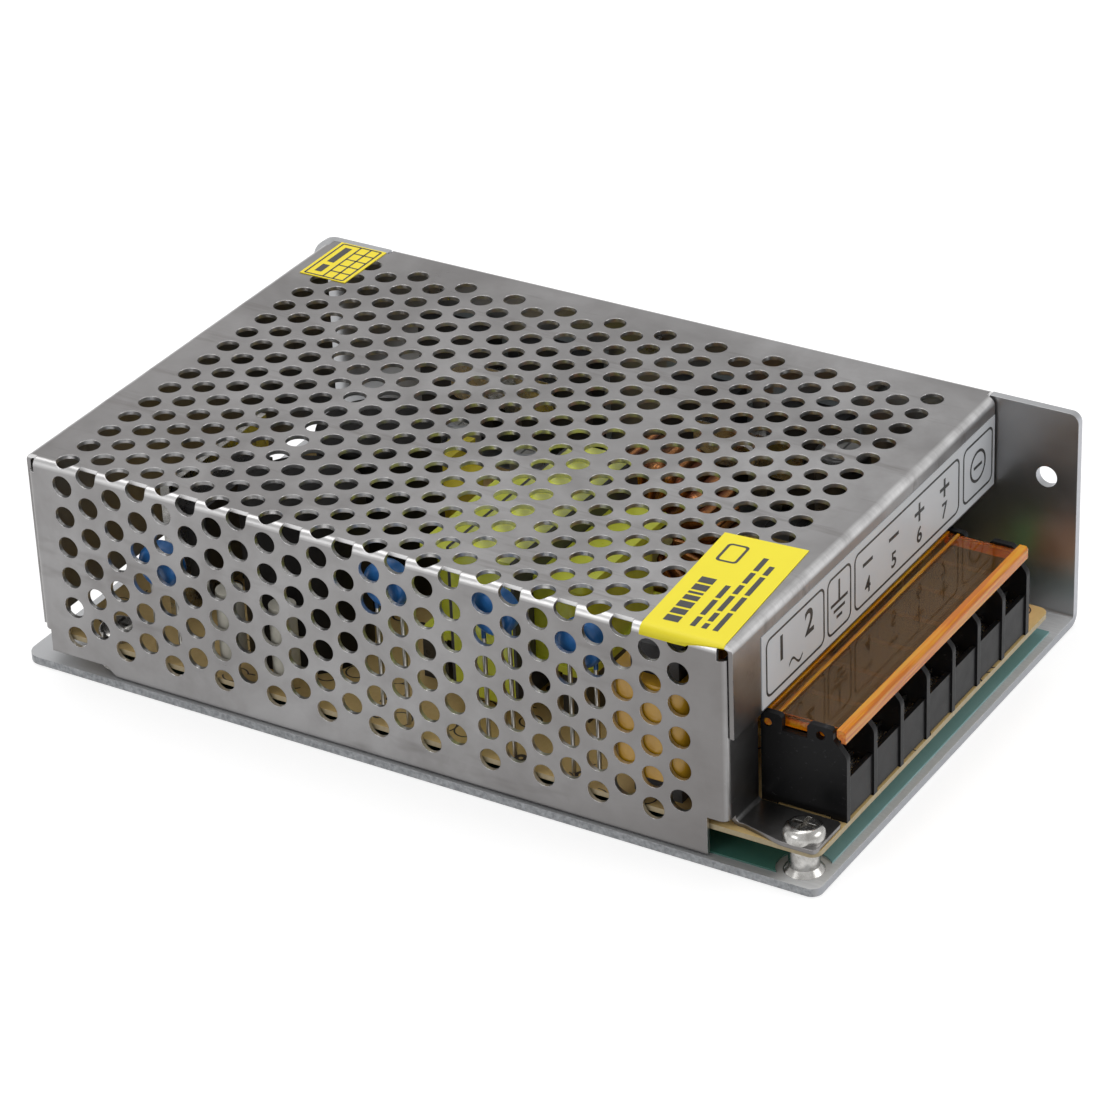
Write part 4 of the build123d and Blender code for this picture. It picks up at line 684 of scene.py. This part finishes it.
# Plain bars on the roof's yellow notice, and a plain grid on the small sticker
turn = math.radians(4.0)
notice = Sheet(
    (-31.9, FRONT + 25.7, ROOF + PAPER + LIFT),
    (math.cos(turn), math.sin(turn), 0),
    (-math.sin(turn), math.cos(turn), 0),
)


def print_notice(bm):
    """Bold blocks in a first row and three rows of short bars, all of them plain."""
    left = -12.8
    rows = (
        ((1.9, 1.7, 1.9, 1.5, 0.7, 1.9, 1.9), 2.2, 4.9, 0.55),
        ((3.1, 5.0, 4.2), -0.8, 0.15, 0.7),
        ((1.7, 2.8, 5.1, 3.0, 3.6, 4.4), -2.8, -1.85, 0.7),
        ((6.0, 4.6, 6.3, 3.0), -4.8, -3.85, 0.7),
    )
    for widths, low, high, gap in rows:
        u = left
        for width in widths:
            notice.box(bm, u, low, u + width, high)
            u += width + gap
    notice.band(bm, rounded(7.6, 1.5, 13.6, 5.4, 0.8), rounded(8.1, 2.0, 13.1, 4.9, 0.5))


piece("notice_print", print_notice)

sticker = Sheet((40.2, FRONT + 147.1, ROOF + PAPER + LIFT), (1, 0, 0), (0, 1, 0))


def print_sticker(bm):
    """Five small cells in a row, two rows high, under a plain head with two bars."""
    line, edge, low, middle, head, top = 0.18, 6.6, -4.2, -2.0, 0.2, 4.2
    for u in (-edge, -3.96, -1.32, 1.32, 3.96, edge):
        sticker.box(bm, u - line, low, u + line, head)
    for v in (low, middle, head, top):
        sticker.box(bm, -edge, v - line, edge, v + line)
    for u in (-edge, edge):
        sticker.box(bm, u - line, head, u + line, top)
    for left, right in ((-5.2, -2.2), (-1.0, 5.4)):
        sticker.box(bm, left, 1.5, right, 3.0)


piece("sticker_print", print_sticker)


# Stage

bpy.context.scene.view_settings.view_transform = "Standard"


def link_all(tree, *pairs):
    for source, target in pairs:
        tree.links.new(source, target)


def shown_rays(tree):
    """One for camera, glossy and transmission rays, which meet the white backdrop, else nought."""
    path = tree.nodes.new("ShaderNodeLightPath")
    total = path.outputs["Is Camera Ray"]
    for kind in ("Is Glossy Ray", "Is Transmission Ray"):
        joined = tree.nodes.new("ShaderNodeMath")
        joined.operation = "MAXIMUM"
        link_all(tree, (total, joined.inputs[0]), (path.outputs[kind], joined.inputs[1]))
        total = joined.outputs[0]
    return total


reach = 6
corners = [(-reach, -reach, 0), (reach, -reach, 0), (reach, reach, 0), (-reach, reach, 0)]
floor_mesh = bpy.data.meshes.new("floor")
floor_mesh.from_pydata(corners, [], [(0, 1, 2, 3)])
floor = bpy.data.objects.new("floor", floor_mesh)
bpy.context.scene.collection.objects.link(floor)
floor.location.z = -0.0002
ground = bpy.data.materials.new("white_ground")
ground.use_nodes = True
tree = ground.node_tree
tree.nodes.clear()
output = tree.nodes.new("ShaderNodeOutputMaterial")
blend = tree.nodes.new("ShaderNodeAddShader")
cloth = tree.nodes.new("ShaderNodeBsdfDiffuse")
cloth.inputs["Color"].default_value = (0.42, 0.42, 0.42, 1)
shine = tree.nodes.new("ShaderNodeEmission")
seen = tree.nodes.new("ShaderNodeMath")
seen.operation = "MULTIPLY"
seen.inputs[1].default_value = 0.72
link_all(
    tree,
    (shown_rays(tree), seen.inputs[0]),
    (seen.outputs[0], shine.inputs["Strength"]),
    (cloth.outputs[0], blend.inputs[0]),
    (shine.outputs[0], blend.inputs[1]),
    (blend.outputs[0], output.inputs[0]),
)
floor_mesh.materials.append(ground)

world = bpy.data.worlds.new("studio")
bpy.context.scene.world = world
world.use_nodes = True
tree = world.node_tree
tree.nodes.clear()
output = tree.nodes.new("ShaderNodeOutputWorld")
backdrop = tree.nodes.new("ShaderNodeBackground")
place = tree.nodes.new("ShaderNodeTexCoord")
split = tree.nodes.new("ShaderNodeSeparateXYZ")
fade = tree.nodes.new("ShaderNodeMapRange")
fade.inputs["From Min"].default_value = 0.0
fade.inputs["From Max"].default_value = 0.9
fade.inputs["To Min"].default_value = 0.40
fade.inputs["To Max"].default_value = 0.75
choose = tree.nodes.new("ShaderNodeMix")
choose.inputs[3].default_value = 1.0
link_all(
    tree,
    (place.outputs["Generated"], split.inputs[0]),
    (split.outputs[2], fade.inputs["Value"]),
    (shown_rays(tree), choose.inputs[0]),
    (fade.outputs[0], choose.inputs[2]),
    (choose.outputs[0], backdrop.inputs["Strength"]),
    (backdrop.outputs[0], output.inputs[0]),
)


def softbox(name, place, aim, size, power):
    lamp = bpy.data.lights.new(name, "AREA")
    lamp.shape = "RECTANGLE"
    lamp.size, lamp.size_y = size
    lamp.energy = power
    holder = bpy.data.objects.new(name, lamp)
    bpy.context.scene.collection.objects.link(holder)
    holder.location = place
    holder.rotation_euler = (Vector(aim) - Vector(place)).to_track_quat("-Z", "Y").to_euler()


softbox("top_light", (0.25, 0.35, 1.1), (0, 0, 0), (0.9, 0.9), 6.0)
softbox("front_light", (0.35, -1.0, 0.5), (0, 0, 0.02), (0.6, 0.5), 3.0)
softbox("side_light", (-1.0, 0.35, 0.55), (0, 0, 0.02), (0.5, 0.5), 1.6)

# Camera, at the photograph's place
lens = bpy.data.cameras.new("camera")
lens.sensor_width = 36.0
lens.lens = 140.84
lens.clip_end = 20
camera = bpy.data.objects.new("camera", lens)
bpy.context.scene.collection.objects.link(camera)
eye = Vector((-552.8, -349.9, 394.5))
azimuth, elevation = math.radians(-57.72), math.radians(29.88)
across = Vector((0.5155, -0.85608, -0.03711))
ahead = Vector((
    -math.sin(azimuth) * math.cos(elevation),
    math.cos(azimuth) * math.cos(elevation),
    -math.sin(elevation),
))
across = (across - ahead * across.dot(ahead)).normalized()
upward = across.cross(ahead)
turned = Matrix((across, upward, -ahead)).transposed().to_4x4()
camera.matrix_world = Matrix.Translation(eye * MM) @ turned
bpy.context.scene.camera = camera
